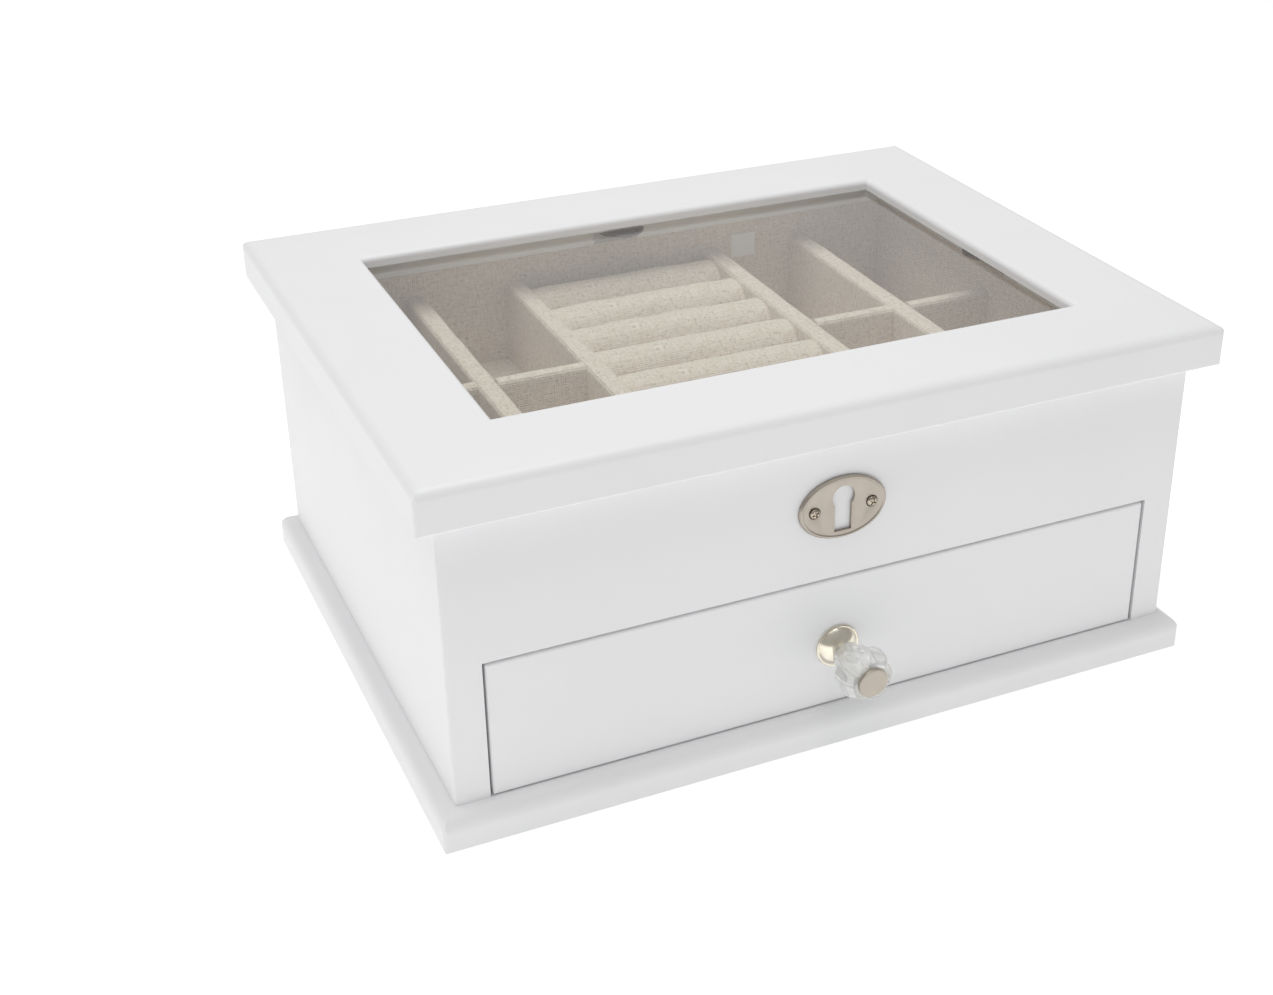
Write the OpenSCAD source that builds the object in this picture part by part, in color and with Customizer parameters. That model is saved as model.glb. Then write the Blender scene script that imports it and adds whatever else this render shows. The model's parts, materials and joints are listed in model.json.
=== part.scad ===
// Jewellery chest: a painted case with a glazed lid over a fitted tray, and one drawer below.
// Millimetres. Origin at the centre of the base board's underside, +X to the right as seen
// from the front, +Y to the back, +Z up. The drawer and the keyhole plate face -Y.

/* [Carcass] */
// Width across the two side boards
body_w = 284.4; // [260:0.1:345]
// Depth from the face of the apron to the face of the back panel
body_d = 217.5; // [180:0.1:262]
// Height of the side boards
body_h = 107.4; // [95:0.1:130]
// Thickness of the side boards, the apron and the back panel
board_t = 12.35; // [10:0.05:15]
// Radius on the outer upright corners of the carcass
board_round = 1; // [0.5:0.1:2]
// Depth of the groove that holds the tray floor
groove_d = 4; // [2:0.5:5]

/* [Base board] */
// Thickness of the base board
base_t = 13.5; // [10:0.1:18]
// How far the base board stands out past the carcass
base_overhang = 6.3; // [6:0.1:12]
// Radius of the round along the base board's upper edge
base_round = 6; // [3:0.1:7]
// Number of screws up into each side board
base_screws_per_side = 3; // [2:1:4]
// Shank radius of a base screw
base_screw_r = 1.8; // [1.5:0.1:2]
// Length of a base screw
base_screw_l = 32; // [25:1:40]

/* [Lid] */
// Thickness of the lid frame
lid_t = 15.5; // [14:0.1:20]
// How far the lid stands out past each side board
lid_overhang_side = 7.8; // [6:0.1:12]
// How far the lid stands out past the apron and the back panel
lid_overhang_front = 8.55; // [8:0.05:12]
// Width of the left and right frame members
lid_stile_w = 38.25; // [36:0.05:46]
// Width of the front and rear frame members
lid_rail_w = 39.8; // [38:0.05:46]
// Radius along the lid's upper outer edge
lid_round = 3.5; // [2:0.1:5]
// Radius along the lid's lower outer edge
lid_under_round = 1; // [0.5:0.1:2]
// Wood left over the edge of the glass
window_lip = 4.4; // [3:0.1:6]
// Radius along the upper edge of the window
window_round = 2.2; // [1:0.1:2.8]
// Gap between the carcass rim and the closed lid
lid_gap = 0.3; // [0.3:0.1:1]

/* [Glass and clips] */
// Thickness of the glass
glass_t = 3; // [2:0.1:4]
// Width of the ledge that the glass lies on
glass_seat = 6; // [5:0.1:7]
// Gap between the edge of the glass and the wood
glass_gap = 0.5; // [0.3:0.1:1]
// Radius of a half-moon clip, which is also how far a front or rear clip's screw stands from the window
clip_r = 10; // [9:0.1:12]
// Thickness of a clip
clip_t = 1.2; // [0.8:0.1:1.6]
// From the screw to the straight edge of a clip
clip_heel = 2.8; // [2.4:0.1:4]
// From the window to the wall of the recess that the clips lie in
clip_recess = 14.5; // [13.5:0.1:17]
// Shank radius of a clip screw
clip_screw_r = 1.4; // [1.2:0.1:1.6]

/* [Hinges] */
// Length of a hinge
hinge_l = 38; // [30:1:45]
// From the outer face of a side board to the middle of a hinge
hinge_inset = 38; // [30:1:60]
// Thickness of a hinge leaf
leaf_t = 1.2; // [0.8:0.1:1.5]
// From the pin to the free edge of a leaf
leaf_w = 13; // [11:0.5:14]
// Outer radius of the hinge knuckles
knuckle_r = 2.5; // [2:0.1:3]
// Radius of the hinge pin
hinge_pin_r = 1; // [0.8:0.1:1.2]

/* [Tray] */
// Thickness of the tray floor
tray_floor_t = 3; // [3:0.5:5]
// From the top of the drawer opening to the underside of the tray floor
tray_floor_rise = 4.7; // [3:0.1:8]
// Thickness of the cloth-covered lining
lining_t = 1.6; // [1:0.1:2.5]
// Thickness of a padded divider that runs from front to back
divider_t = 8; // [5:0.1:10]
// Thickness of a padded cross divider
cross_t = 5.5; // [4:0.1:8]
// How far the cross dividers stand behind the middle of the tray
cross_y = 5; // [0:0.5:12]
// From the carcass rim down to the top of the dividers
divider_drop = 10.9; // [6:0.1:18]
// Width of the column that holds the ring rolls
roll_bed_w = 82; // [66:0.5:90]
// Width of the cells next to the ring rolls
inner_cell_w = 34.5; // [28:0.5:40]
// From the carcass rim down to the crest of the ring rolls
roll_drop = 11.6; // [8:0.5:22]

/* [Drawer] */
// Height of the drawer opening
opening_h = 52.8; // [44:0.1:60]
// Thickness of the drawer front
drawer_front_t = 12; // [10:0.1:14]
// Thickness of the drawer sides and back
drawer_board_t = 8; // [6:0.5:10]
// Gap at each end of the drawer
drawer_side_gap = 1; // [0.6:0.1:2]
// Gap above the drawer front
drawer_top_gap = 0.8; // [0.5:0.1:2]
// Gap under the drawer front
drawer_foot_gap = 0.3; // [0.3:0.1:1]
// Free space behind the drawer
drawer_back_gap = 4; // [2:0.5:10]
// From the top of the drawer front down to the top of the drawer sides
drawer_side_drop = 3.5; // [2:0.5:10]
// Thickness of the drawer bottom
drawer_bottom_t = 3; // [2.5:0.5:4]
// Thickness of the cloth lining in the drawer
drawer_lining_t = 1.2; // [0.8:0.1:2]
// Width of the drawer's right-hand column of cells
drawer_cell_w = 82; // [60:1:100]
// From the top of the drawer sides down to the top of the drawer dividers
drawer_divider_drop = 12; // [5:0.5:15]

/* [Keyhole plate] */
// Width of the oval plate
plate_w = 33.5; // [28:0.5:40]
// Height of the oval plate
plate_h = 23.6; // [20:0.2:26]
// Thickness of the plate
plate_t = 1.6; // [1:0.1:2]
// Middle of the plate above the middle of the apron
plate_rise = 0.4; // [-4:0.1:4]
// Radius of the keyhole's round head
key_r = 4.3; // [3:0.1:4.6]
// Width of the keyhole's slot
key_slot_w = 6.5; // [4:0.1:6.8]
// Height of the keyhole
key_h = 17.2; // [14:0.1:17.6]
// Distance between the two plate screws
plate_screw_pitch = 22; // [19:0.5:26]

/* [Knob] */
// Middle of the knob below the middle of the drawer front
knob_drop = 1.8; // [0:0.1:6]
// Radius of the metal rose against the drawer front
rose_r = 8.25; // [7:0.05:10]
// Height of the rose with its neck
rose_l = 6; // [5:0.1:8]
// Widest radius of the clear knob
crystal_r = 10; // [9:0.1:12]
// Length of the clear knob
crystal_l = 19.4; // [16:0.1:24]
// Number of flutes round the clear knob
crystal_flutes = 8; // [6:1:10]
// Radius of the bolt's disc head
cap_r = 5.6; // [4:0.1:6.5]
// Thickness of the bolt's disc head
cap_t = 1.5; // [1:0.1:2]
// Radius of the knob bolt
bolt_r = 2; // [1.5:0.1:2.5]

/* [Hidden] */
$fn = 48;
// Cuts run past the face that they leave by this much
over = 1;
// Play round a part that is laid in a groove or mortise
seat_play = 0.1;
// Play all round a turning pin
pin_play = 0.05;
// Smallest gap between parts that move past each other
run_gap = 0.3;

PAINT = "whitesmoke";
LINEN = "tan";
NICKEL = "silver";
BRONZE = "saddlebrown";

rim_z = base_t + body_h;
inner_w = body_w - 2 * board_t;
inner_d = body_d - 2 * board_t;
face_y = -body_d / 2;

base_w = body_w + 2 * base_overhang;
base_d = body_d + 2 * base_overhang;
base_ease = 0.6;
base_screw_head_r = 2 * base_screw_r;
base_screw_head_l = 2.5;
base_screw_span = body_d - 60;

lid_w = body_w + 2 * lid_overhang_side;
lid_d = body_d + 2 * lid_overhang_front;
lid_z = rim_z + lid_gap;
lid_top = lid_z + lid_t;
window_w = lid_w - 2 * lid_stile_w;
window_d = lid_d - 2 * lid_rail_w;
plan_round = 1.5;

glass_top = lid_top - window_lip;
glass_under = glass_top - glass_t;
glass_w = window_w + 2 * (glass_seat - glass_gap);
glass_d = window_d + 2 * (glass_seat - glass_gap);

// Turning parts under the glass: place of each clip's screw, and the way its round side points
clip_lift = 0.2;
clip_top = glass_under - clip_lift;
side_clip_back = 2.8;
clip_x = window_w / 2 + side_clip_back + clip_r;
clip_y = window_d / 2 + clip_r;
clip_places = [[0, -clip_y, 90], [0, clip_y, -90], [-clip_x, 0, 0], [clip_x, 0, 180]];
clip_swing_r = clip_r + 1;
clip_screw_l = 5.5;
clip_head_r = 2.7;
clip_head_l = 1.5;

hinge_x = body_w / 2 - hinge_inset;
pin_y = body_d / 2 + knuckle_r + run_gap;
pin_z = rim_z + lid_gap / 2;
leaf_edge_y = pin_y - leaf_w;
knuckle_l = hinge_l / 3;
knuckle_gap = 0.15;
leaf_screw_r = 1.1;
leaf_screw_head_r = 2.1;
leaf_screw_l = 9;
leaf_screw_x = 12;
leaf_screw_y = (leaf_edge_y + body_d / 2) / 2;

opening_top = base_t + opening_h;
tray_floor_z = opening_top + tray_floor_rise;
tray_bed_z = tray_floor_z + tray_floor_t + lining_t;
tray_w = inner_w - 2 * lining_t;
tray_d = inner_d - 2 * lining_t;
divider_top = rim_z - divider_drop;
inner_divider_x = (roll_bed_w + divider_t) / 2;
outer_divider_x = inner_divider_x + inner_cell_w + divider_t;
outer_cell_w = tray_w / 2 - outer_divider_x - divider_t / 2;
outer_cell_x = outer_divider_x + (divider_t + outer_cell_w) / 2;
inner_cell_x = (inner_divider_x + outer_divider_x) / 2;
roll_count = 8;
roll_pitch = tray_d / roll_count;
roll_gap = 0.4;
roll_r = (roll_pitch - roll_gap) / 2;
roll_crest = rim_z - roll_drop;
tag_w = 11.2;
tag_h = 10.4;
tag_t = 0.4;
tag_x = 60.7;
tag_drop = 6.5;

drawer_w = inner_w - 2 * drawer_side_gap;
drawer_z = base_t + drawer_foot_gap;
drawer_top = opening_top - drawer_top_gap;
drawer_box_z = base_t + run_gap;
drawer_side_top = drawer_top - drawer_side_drop;
drawer_box_y = face_y + drawer_front_t;
drawer_end_y = inner_d / 2 - drawer_back_gap;
drawer_inner_w = drawer_w - 2 * drawer_board_t;
drawer_inner_end_y = drawer_end_y - drawer_board_t;
drawer_inner_d = drawer_inner_end_y - drawer_box_y;
drawer_mid_y = (drawer_inner_end_y + drawer_box_y) / 2;
drawer_bottom_z = drawer_box_z + 4;
drawer_groove_d = 3;
drawer_bed_z = drawer_bottom_z + drawer_bottom_t + seat_play + drawer_lining_t;
drawer_lining_drop = 2;
drawer_divider_t = 4;
drawer_divider_top = drawer_side_top - drawer_divider_drop;
drawer_lined_w = drawer_inner_w - 2 * drawer_lining_t;
drawer_lined_d = drawer_inner_d - 2 * drawer_lining_t;
drawer_divider_x = drawer_lined_w / 2 - drawer_cell_w - drawer_divider_t / 2;

plate_z = (opening_top + rim_z) / 2 + plate_rise;
plate_end_r = 0.4 * plate_h;
plate_screw_r = 1.1;
plate_screw_head_r = 2;
plate_screw_head_l = 0.8;
plate_screw_l = 10;
key_top = plate_z + key_h / 2 - 0.4;

knob_z = (drawer_z + drawer_top) / 2 - knob_drop;
nut_t = 3.2;
nut_flats = 7;
nut_clear_r = 6.5;
bolt_tail = 1.5;
crystal_y = face_y - rose_l;
cap_y = crystal_y - crystal_l;
bolt_play = 0.15;

// ---- shared shapes ----

// A box centred in X and Y that runs from z0 to z1
module block(w, d, z0, z1) {
    translate([-w / 2, -d / 2, z0]) cube([w, d, z1 - z0]);
}

// What a round of radius r takes off a square corner at (r, r)
module round_off(r) {
    difference() {
        square(r + over);
        circle(r);
    }
}

// Half of a board's end view, from its middle out to reach, with rounded outer corners
module edge_profile(reach, h, top_r, bottom_r) {
    difference() {
        square([reach, h]);
        translate([reach - top_r, h - top_r]) round_off(top_r);
        if (bottom_r > 0)
            translate([reach - bottom_r, bottom_r]) mirror([0, 1]) round_off(bottom_r);
    }
}

module end_profile(w, h, top_r, bottom_r) {
    edge_profile(w / 2, h, top_r, bottom_r);
    mirror([1, 0]) edge_profile(w / 2, h, top_r, bottom_r);
}

module plan_profile(w, d, r) {
    difference() {
        square([w, d], center = true);
        for (sx = [0, 1], sy = [0, 1])
            mirror([sx, 0]) mirror([0, sy]) translate([w / 2 - r, d / 2 - r]) round_off(r);
    }
}

// A board standing on z = 0 with rounded upper and lower edges that meet in mitres
module eased_slab(w, d, h, corner_r, top_r, bottom_r) {
    intersection() {
        rotate([90, 0, 0]) linear_extrude(d + over, center = true)
            end_profile(w, h, top_r, bottom_r);
        rotate([90, 0, 90]) linear_extrude(w + over, center = true)
            end_profile(d, h, top_r, bottom_r);
        linear_extrude(h) plan_profile(w, d, corner_r);
    }
}

// A wood screw standing on its countersunk head, point up
module wood_screw(shank_r, head_r, head_l, length) {
    cylinder(h = head_l, r1 = head_r, r2 = shank_r);
    translate([0, 0, head_l]) cylinder(h = length - head_l, r = shank_r);
}

// ---- carcass ----

module base_screw_places() {
    pitch = base_screw_span / (base_screws_per_side - 1);
    for (side = [-1, 1], i = [0 : base_screws_per_side - 1])
        translate([side * (body_w - board_t) / 2, i * pitch - base_screw_span / 2, 0]) children();
}

module base_screw() {
    wood_screw(base_screw_r, base_screw_head_r, base_screw_head_l, base_screw_l);
}

module base_board() {
    color(PAINT) difference() {
        eased_slab(base_w, base_d, base_t, plan_round, base_round, base_ease);
        base_screw_places() base_screw();
    }
}

module base_screws() {
    color(NICKEL) base_screw_places() base_screw();
}

// The space that the tray floor's edge takes up in the four boards
module tray_floor_groove() {
    translate([0, 0, tray_floor_z - seat_play])
        block(inner_w + 2 * groove_d, inner_d + 2 * groove_d, 0, tray_floor_t + 2 * seat_play);
}

module side_board() {
    difference() {
        translate([body_w / 2 - board_t, 0, base_t]) linear_extrude(body_h) difference() {
            translate([0, -body_d / 2]) square([board_t, body_d]);
            for (end = [0, 1]) mirror([0, end])
                translate([board_t - board_round, body_d / 2 - board_round]) round_off(board_round);
        }
        tray_floor_groove();
        base_screw_places() base_screw();
    }
}

module side_left() {
    color(PAINT) mirror([1, 0, 0]) side_board();
}

module side_right() {
    color(PAINT) side_board();
}

module keyhole_screw_places() {
    for (side = [-1, 1]) translate([side * plate_screw_pitch / 2, face_y - plate_t, plate_z])
        rotate([-90, 0, 0]) children();
}

module keyhole_screw() {
    wood_screw(plate_screw_r, plate_screw_head_r, plate_screw_head_l, plate_screw_l);
}

module front_apron() {
    color(PAINT) difference() {
        translate([-inner_w / 2, face_y, opening_top]) cube([inner_w, board_t, rim_z - opening_top]);
        tray_floor_groove();
        keyhole_screw_places() keyhole_screw();
    }
}

module back_panel() {
    color(PAINT) difference() {
        translate([-inner_w / 2, inner_d / 2, base_t]) cube([inner_w, board_t, body_h]);
        tray_floor_groove();
        for (side = [-1, 1]) translate([side * hinge_x, 0, 0]) {
            translate([-hinge_l / 2 - seat_play, leaf_edge_y - seat_play, rim_z - leaf_t])
                cube([hinge_l + 2 * seat_play, leaf_w, leaf_t + over]);
            body_leaf_screws();
        }
    }
}

// ---- tray ----

module tray_floor() {
    tongue = 2 * (groove_d - run_gap);
    color("burlywood") block(inner_w + tongue, inner_d + tongue, tray_floor_z,
                             tray_floor_z + tray_floor_t);
}

module lining_floor() {
    color(LINEN) block(tray_w, tray_d, tray_bed_z - lining_t, tray_bed_z);
}

module lining_end(side) {
    wall_z = tray_bed_z - lining_t;
    color(LINEN) translate([0, side * (inner_d - lining_t) / 2, 0])
        block(inner_w, lining_t, wall_z, rim_z - run_gap);
}

module lining_front() {
    lining_end(-1);
}

module lining_back() {
    lining_end(1);
}

module lining_side(side) {
    wall_z = tray_bed_z - lining_t;
    color(LINEN) translate([side * (inner_w - lining_t) / 2, 0, 0])
        block(lining_t, tray_d, wall_z, rim_z - run_gap);
}

module lining_left() {
    lining_side(-1);
}

module lining_right() {
    lining_side(1);
}

module long_divider(x) {
    color(LINEN) translate([x, 0, 0]) block(divider_t, tray_d, tray_bed_z, divider_top);
}

module divider_outer_left() {
    long_divider(-outer_divider_x);
}

module divider_inner_left() {
    long_divider(-inner_divider_x);
}

module divider_inner_right() {
    long_divider(inner_divider_x);
}

module divider_outer_right() {
    long_divider(outer_divider_x);
}

module cross_divider(x, w) {
    color(LINEN) translate([x, cross_y, 0]) block(w, cross_t, tray_bed_z, divider_top);
}

module cross_outer_left() {
    cross_divider(-outer_cell_x, outer_cell_w);
}

module cross_inner_left() {
    cross_divider(-inner_cell_x, inner_cell_w);
}

module cross_inner_right() {
    cross_divider(inner_cell_x, inner_cell_w);
}

module cross_outer_right() {
    cross_divider(outer_cell_x, outer_cell_w);
}

// Foam roll number i, counted from the back
module ring_roll(i) {
    roll_y = tray_d / 2 - (i - 0.5) * roll_pitch;
    color("bisque") translate([0, roll_y, 0]) {
        block(roll_bed_w, 2 * roll_r, tray_bed_z, roll_crest - roll_r);
        translate([0, 0, roll_crest - roll_r]) rotate([0, 90, 0])
            cylinder(h = roll_bed_w, r = roll_r, center = true);
    }
}

module blank_tag() {
    color("white") translate([tag_x, tray_d / 2 - tag_t / 2, 0])
        block(tag_w, tag_t, rim_z - tag_drop - tag_h, rim_z - tag_drop);
}

// ---- keyhole plate ----

// An oval of four arcs: two large ones above and below, two small ones at the ends
module oval(w, h, end_r) {
    a = w / 2;
    b = h / 2;
    big_r = (pow(a - end_r, 2) + b * b - end_r * end_r) / (2 * (b - end_r));
    join_x = big_r * (a - end_r) / (big_r - end_r);
    intersection() {
        translate([0, b - big_r]) circle(big_r);
        translate([0, big_r - b]) circle(big_r);
        square([2 * join_x, h], center = true);
    }
    for (side = [-1, 1]) translate([side * (a - end_r), 0]) circle(end_r);
}

module keyhole() {
    translate([0, key_top - key_r - plate_z]) circle(key_r);
    translate([-key_slot_w / 2, key_top - key_h - plate_z]) square([key_slot_w, key_h - key_r]);
}

module keyhole_plate() {
    color(NICKEL) difference() {
        translate([0, face_y, plate_z]) rotate([90, 0, 0]) linear_extrude(plate_t) difference() {
            oval(plate_w, plate_h, plate_end_r);
            keyhole();
        }
        keyhole_screw_places() keyhole_screw();
    }
}

module keyhole_screws() {
    color(NICKEL) keyhole_screw_places() keyhole_screw();
}

// ---- hinges ----

// One knuckle, k = -1, 0 or 1 along the hinge
module knuckle(k, r) {
    translate([k * knuckle_l, pin_y, pin_z]) rotate([0, 90, 0])
        cylinder(h = knuckle_l - 2 * knuckle_gap, r = r, center = true);
}

module knuckle_bore() {
    translate([0, pin_y, pin_z]) rotate([0, 90, 0])
        cylinder(h = hinge_l + over, r = hinge_pin_r + pin_play, center = true);
}

// A leaf lying flat from z0 up, joined to the knuckles listed in own
module leaf(z0, own) {
    plate_end_y = pin_y - knuckle_r - run_gap;
    difference() {
        union() {
            translate([-hinge_l / 2, leaf_edge_y, z0])
                cube([hinge_l, plate_end_y - leaf_edge_y, leaf_t]);
            for (k = own) {
                knuckle(k, knuckle_r);
                translate([k * knuckle_l - knuckle_l / 2 + knuckle_gap, leaf_edge_y, z0])
                    cube([knuckle_l - 2 * knuckle_gap, leaf_w, leaf_t]);
            }
        }
        knuckle_bore();
    }
}

module leaf_screw() {
    wood_screw(leaf_screw_r, leaf_screw_head_r, leaf_t, leaf_screw_l);
}

module body_leaf_screws() {
    for (side = [-1, 1]) translate([side * leaf_screw_x, leaf_screw_y, rim_z])
        rotate([180, 0, 0]) leaf_screw();
}

module lid_leaf_screws() {
    for (side = [-1, 1]) translate([side * leaf_screw_x, leaf_screw_y, lid_z]) leaf_screw();
}

module body_leaf(side) {
    color(BRONZE) translate([side * hinge_x, 0, 0]) difference() {
        leaf(rim_z - leaf_t, [-1, 1]);
        body_leaf_screws();
    }
}

module hinge_body_leaf_left() {
    body_leaf(-1);
}

module hinge_body_leaf_right() {
    body_leaf(1);
}

module lid_leaf(side) {
    color(BRONZE) translate([side * hinge_x, 0, 0]) difference() {
        leaf(lid_z, [0]);
        lid_leaf_screws();
    }
}

module hinge_lid_leaf_left() {
    lid_leaf(-1);
}

module hinge_lid_leaf_right() {
    lid_leaf(1);
}

module hinge_pins() {
    color(NICKEL) for (side = [-1, 1]) translate([side * hinge_x, pin_y, pin_z])
        rotate([0, 90, 0]) cylinder(h = hinge_l, r = hinge_pin_r, center = true);
}

module hinge_body_screws() {
    color(BRONZE) for (side = [-1, 1]) translate([side * hinge_x, 0, 0]) body_leaf_screws();
}

module hinge_lid_screws() {
    color(BRONZE) for (side = [-1, 1]) translate([side * hinge_x, 0, 0]) lid_leaf_screws();
}

// ---- lid ----

// What rounds the upper edge of the window, with mitred corners
module window_round_cut() {
    intersection() {
        translate([0, 0, lid_top - window_round]) rotate([90, 0, 0])
            linear_extrude(lid_d, center = true) flared_profile(window_w, window_round);
        translate([0, 0, lid_top - window_round]) rotate([90, 0, 90])
            linear_extrude(lid_w, center = true) flared_profile(window_d, window_round);
    }
}

// An opening's end view from where its sides start to turn outwards on radius r, in short flats
module flared_profile(w, r) {
    turn = 15;
    last = r * [1 - cos(90 - turn), sin(90 - turn)];
    flats = [
        for (a = [0 : turn : 90 - turn]) r * [1 - cos(a), sin(a)],
        [last[0] + (r + over - last[1]) / tan(turn / 2), r + over]
    ];
    polygon([
        for (p = flats) [w / 2 + p[0], p[1]],
        for (i = [len(flats) - 1 : -1 : 0]) [-w / 2 - flats[i][0], flats[i][1]]
    ]);
}

// What the hinges take out of the lid: the leaf's mortise, room for the knuckles, the screws
module lid_hinge_cuts() {
    for (side = [-1, 1]) translate([side * hinge_x, 0, 0]) {
        translate([-hinge_l / 2 - seat_play, leaf_edge_y - seat_play, lid_z - over])
            cube([hinge_l + 2 * seat_play, leaf_w, leaf_t + over]);
        translate([0, pin_y, pin_z]) rotate([0, 90, 0])
            cylinder(h = hinge_l + 2 * run_gap, r = knuckle_r + run_gap + seat_play, center = true);
        lid_leaf_screws();
    }
}

// All four frame members as one shape, before the mitres part them
module lid_frame() {
    difference() {
        translate([0, 0, lid_z])
            eased_slab(lid_w, lid_d, lid_t, plan_round, lid_round, lid_under_round);
        block(window_w, window_d, lid_z - over, lid_top + over);
        block(window_w + 2 * glass_seat, window_d + 2 * glass_seat, lid_z - over, glass_top);
        block(window_w + 2 * clip_recess, window_d + 2 * clip_recess, lid_z - over, glass_under);
        for (p = clip_places) translate([p[0], p[1], lid_z - over])
            cylinder(h = glass_under - lid_z + over, r = clip_swing_r);
        clip_screw_set();
        window_round_cut();
        lid_hinge_cuts();
    }
}

// The front or rear share of the frame, between mitres from the lid's corners to the window's
module rail_share() {
    linear_extrude(lid_top + over) polygon([
        [-lid_w / 2, -lid_d / 2], [lid_w / 2, -lid_d / 2],
        [window_w / 2, -window_d / 2], [-window_w / 2, -window_d / 2]
    ]);
}

module stile_share() {
    linear_extrude(lid_top + over) polygon([
        [-lid_w / 2, -lid_d / 2], [-window_w / 2, -window_d / 2],
        [-window_w / 2, window_d / 2], [-lid_w / 2, lid_d / 2]
    ]);
}

module lid_rail_front() {
    color(PAINT) intersection() {
        lid_frame();
        rail_share();
    }
}

module lid_rail_rear() {
    color(PAINT) intersection() {
        lid_frame();
        mirror([0, 1, 0]) rail_share();
    }
}

module lid_stile_left() {
    color(PAINT) intersection() {
        lid_frame();
        stile_share();
    }
}

module lid_stile_right() {
    color(PAINT) intersection() {
        lid_frame();
        mirror([1, 0, 0]) stile_share();
    }
}

module glass_pane() {
    color("lightcyan", 0.4) block(glass_w, glass_d, glass_under, glass_top);
}

// A round-headed screw with its head under the clip and its shank up in the wood
module clip_screw() {
    head_z = clip_top - clip_t - clip_lift;
    translate([0, 0, head_z - clip_head_l]) cylinder(h = clip_head_l, r = clip_head_r);
    translate([0, 0, head_z]) cylinder(h = clip_t + 2 * clip_lift + clip_screw_l, r = clip_screw_r);
}

module clip_screw_set() {
    for (p = clip_places) translate([p[0], p[1], 0]) clip_screw();
}

module clip_screws() {
    color(BRONZE) clip_screw_set();
}

module glass_clip(place) {
    color(BRONZE) translate([place[0], place[1], clip_top - clip_t]) rotate([0, 0, place[2]])
        linear_extrude(clip_t) difference() {
            circle(clip_r);
            translate([-2 * clip_r - clip_heel, -clip_r - over])
                square([2 * clip_r, 2 * clip_r + 2 * over]);
            circle(clip_screw_r + pin_play);
        }
}

module glass_clip_front() {
    glass_clip(clip_places[0]);
}

module glass_clip_rear() {
    glass_clip(clip_places[1]);
}

module glass_clip_left() {
    glass_clip(clip_places[2]);
}

module glass_clip_right() {
    glass_clip(clip_places[3]);
}

// ---- drawer ----

// The space that the drawer bottom's edge takes up in the drawer's four boards
module drawer_groove() {
    translate([0, drawer_mid_y, drawer_bottom_z - seat_play])
        block(drawer_inner_w + 2 * drawer_groove_d, drawer_inner_d + 2 * drawer_groove_d, 0,
              drawer_bottom_t + 2 * seat_play);
}

module drawer_front() {
    color(PAINT) difference() {
        translate([0, drawer_box_y, (drawer_z + drawer_top) / 2]) rotate([90, 0, 0])
            eased_slab(drawer_w, drawer_top - drawer_z, drawer_front_t, board_round, board_round, 0);
        drawer_groove();
        knob_bore();
    }
}

module drawer_side(side) {
    color("wheat") difference() {
        translate([side * (drawer_w - drawer_board_t) / 2, (drawer_box_y + drawer_end_y) / 2, 0])
            block(drawer_board_t, drawer_end_y - drawer_box_y, drawer_box_z, drawer_side_top);
        drawer_groove();
    }
}

module drawer_side_left() {
    drawer_side(-1);
}

module drawer_side_right() {
    drawer_side(1);
}

module drawer_back() {
    color("wheat") difference() {
        translate([0, drawer_end_y - drawer_board_t / 2, 0])
            block(drawer_inner_w, drawer_board_t, drawer_box_z, drawer_side_top);
        drawer_groove();
    }
}

module drawer_bottom() {
    tongue = 2 * (drawer_groove_d - run_gap);
    color("burlywood") translate([0, drawer_mid_y, 0])
        block(drawer_inner_w + tongue, drawer_inner_d + tongue, drawer_bottom_z,
              drawer_bottom_z + drawer_bottom_t);
}

// Floor and four walls of cloth, with a hole round the knob's nut
module drawer_lining() {
    color(LINEN) difference() {
        translate([0, drawer_mid_y, 0])
            block(drawer_inner_w, drawer_inner_d, drawer_bed_z - drawer_lining_t,
                  drawer_side_top - drawer_lining_drop);
        translate([0, drawer_mid_y, 0])
            block(drawer_lined_w, drawer_lined_d, drawer_bed_z, drawer_side_top + over);
        translate([0, drawer_box_y - over, knob_z]) rotate([-90, 0, 0])
            cylinder(h = 2 * over + drawer_lining_t, r = nut_clear_r);
    }
}

module drawer_divider_long() {
    color(LINEN) translate([drawer_divider_x, drawer_mid_y, 0])
        block(drawer_divider_t, drawer_lined_d, drawer_bed_z, drawer_divider_top);
}

module drawer_divider_cross() {
    color(LINEN) translate([drawer_lined_w / 2 - drawer_cell_w / 2, drawer_mid_y, 0])
        block(drawer_cell_w, drawer_divider_t, drawer_bed_z, drawer_divider_top);
}

// ---- knob ----

// Turns a shape that stands on z = 0 so that it stands out of the drawer front at depth y
module from_front(y) {
    translate([0, y, knob_z]) rotate([90, 0, 0]) children();
}

module knob_bore() {
    from_front(drawer_box_y + over) cylinder(h = drawer_front_t + 2 * over, r = bolt_r + bolt_play);
}

// A flange, a dome and a neck
module knob_rose() {
    flange_t = 1;
    dome_base_r = rose_r - 0.6;
    dome_h = 3.4;
    dome_r = (dome_base_r * dome_base_r + dome_h * dome_h) / (2 * dome_h);
    neck_r = 3.8;
    color(NICKEL) from_front(face_y) difference() {
        union() {
            cylinder(h = flange_t, r = rose_r);
            intersection() {
                translate([0, 0, flange_t + dome_h - dome_r]) sphere(dome_r);
                cylinder(h = rose_l, r = dome_base_r);
            }
            cylinder(h = rose_l, r = neck_r);
        }
        translate([0, 0, -over]) cylinder(h = rose_l + 2 * over, r = bolt_r + bolt_play);
    }
}

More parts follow.
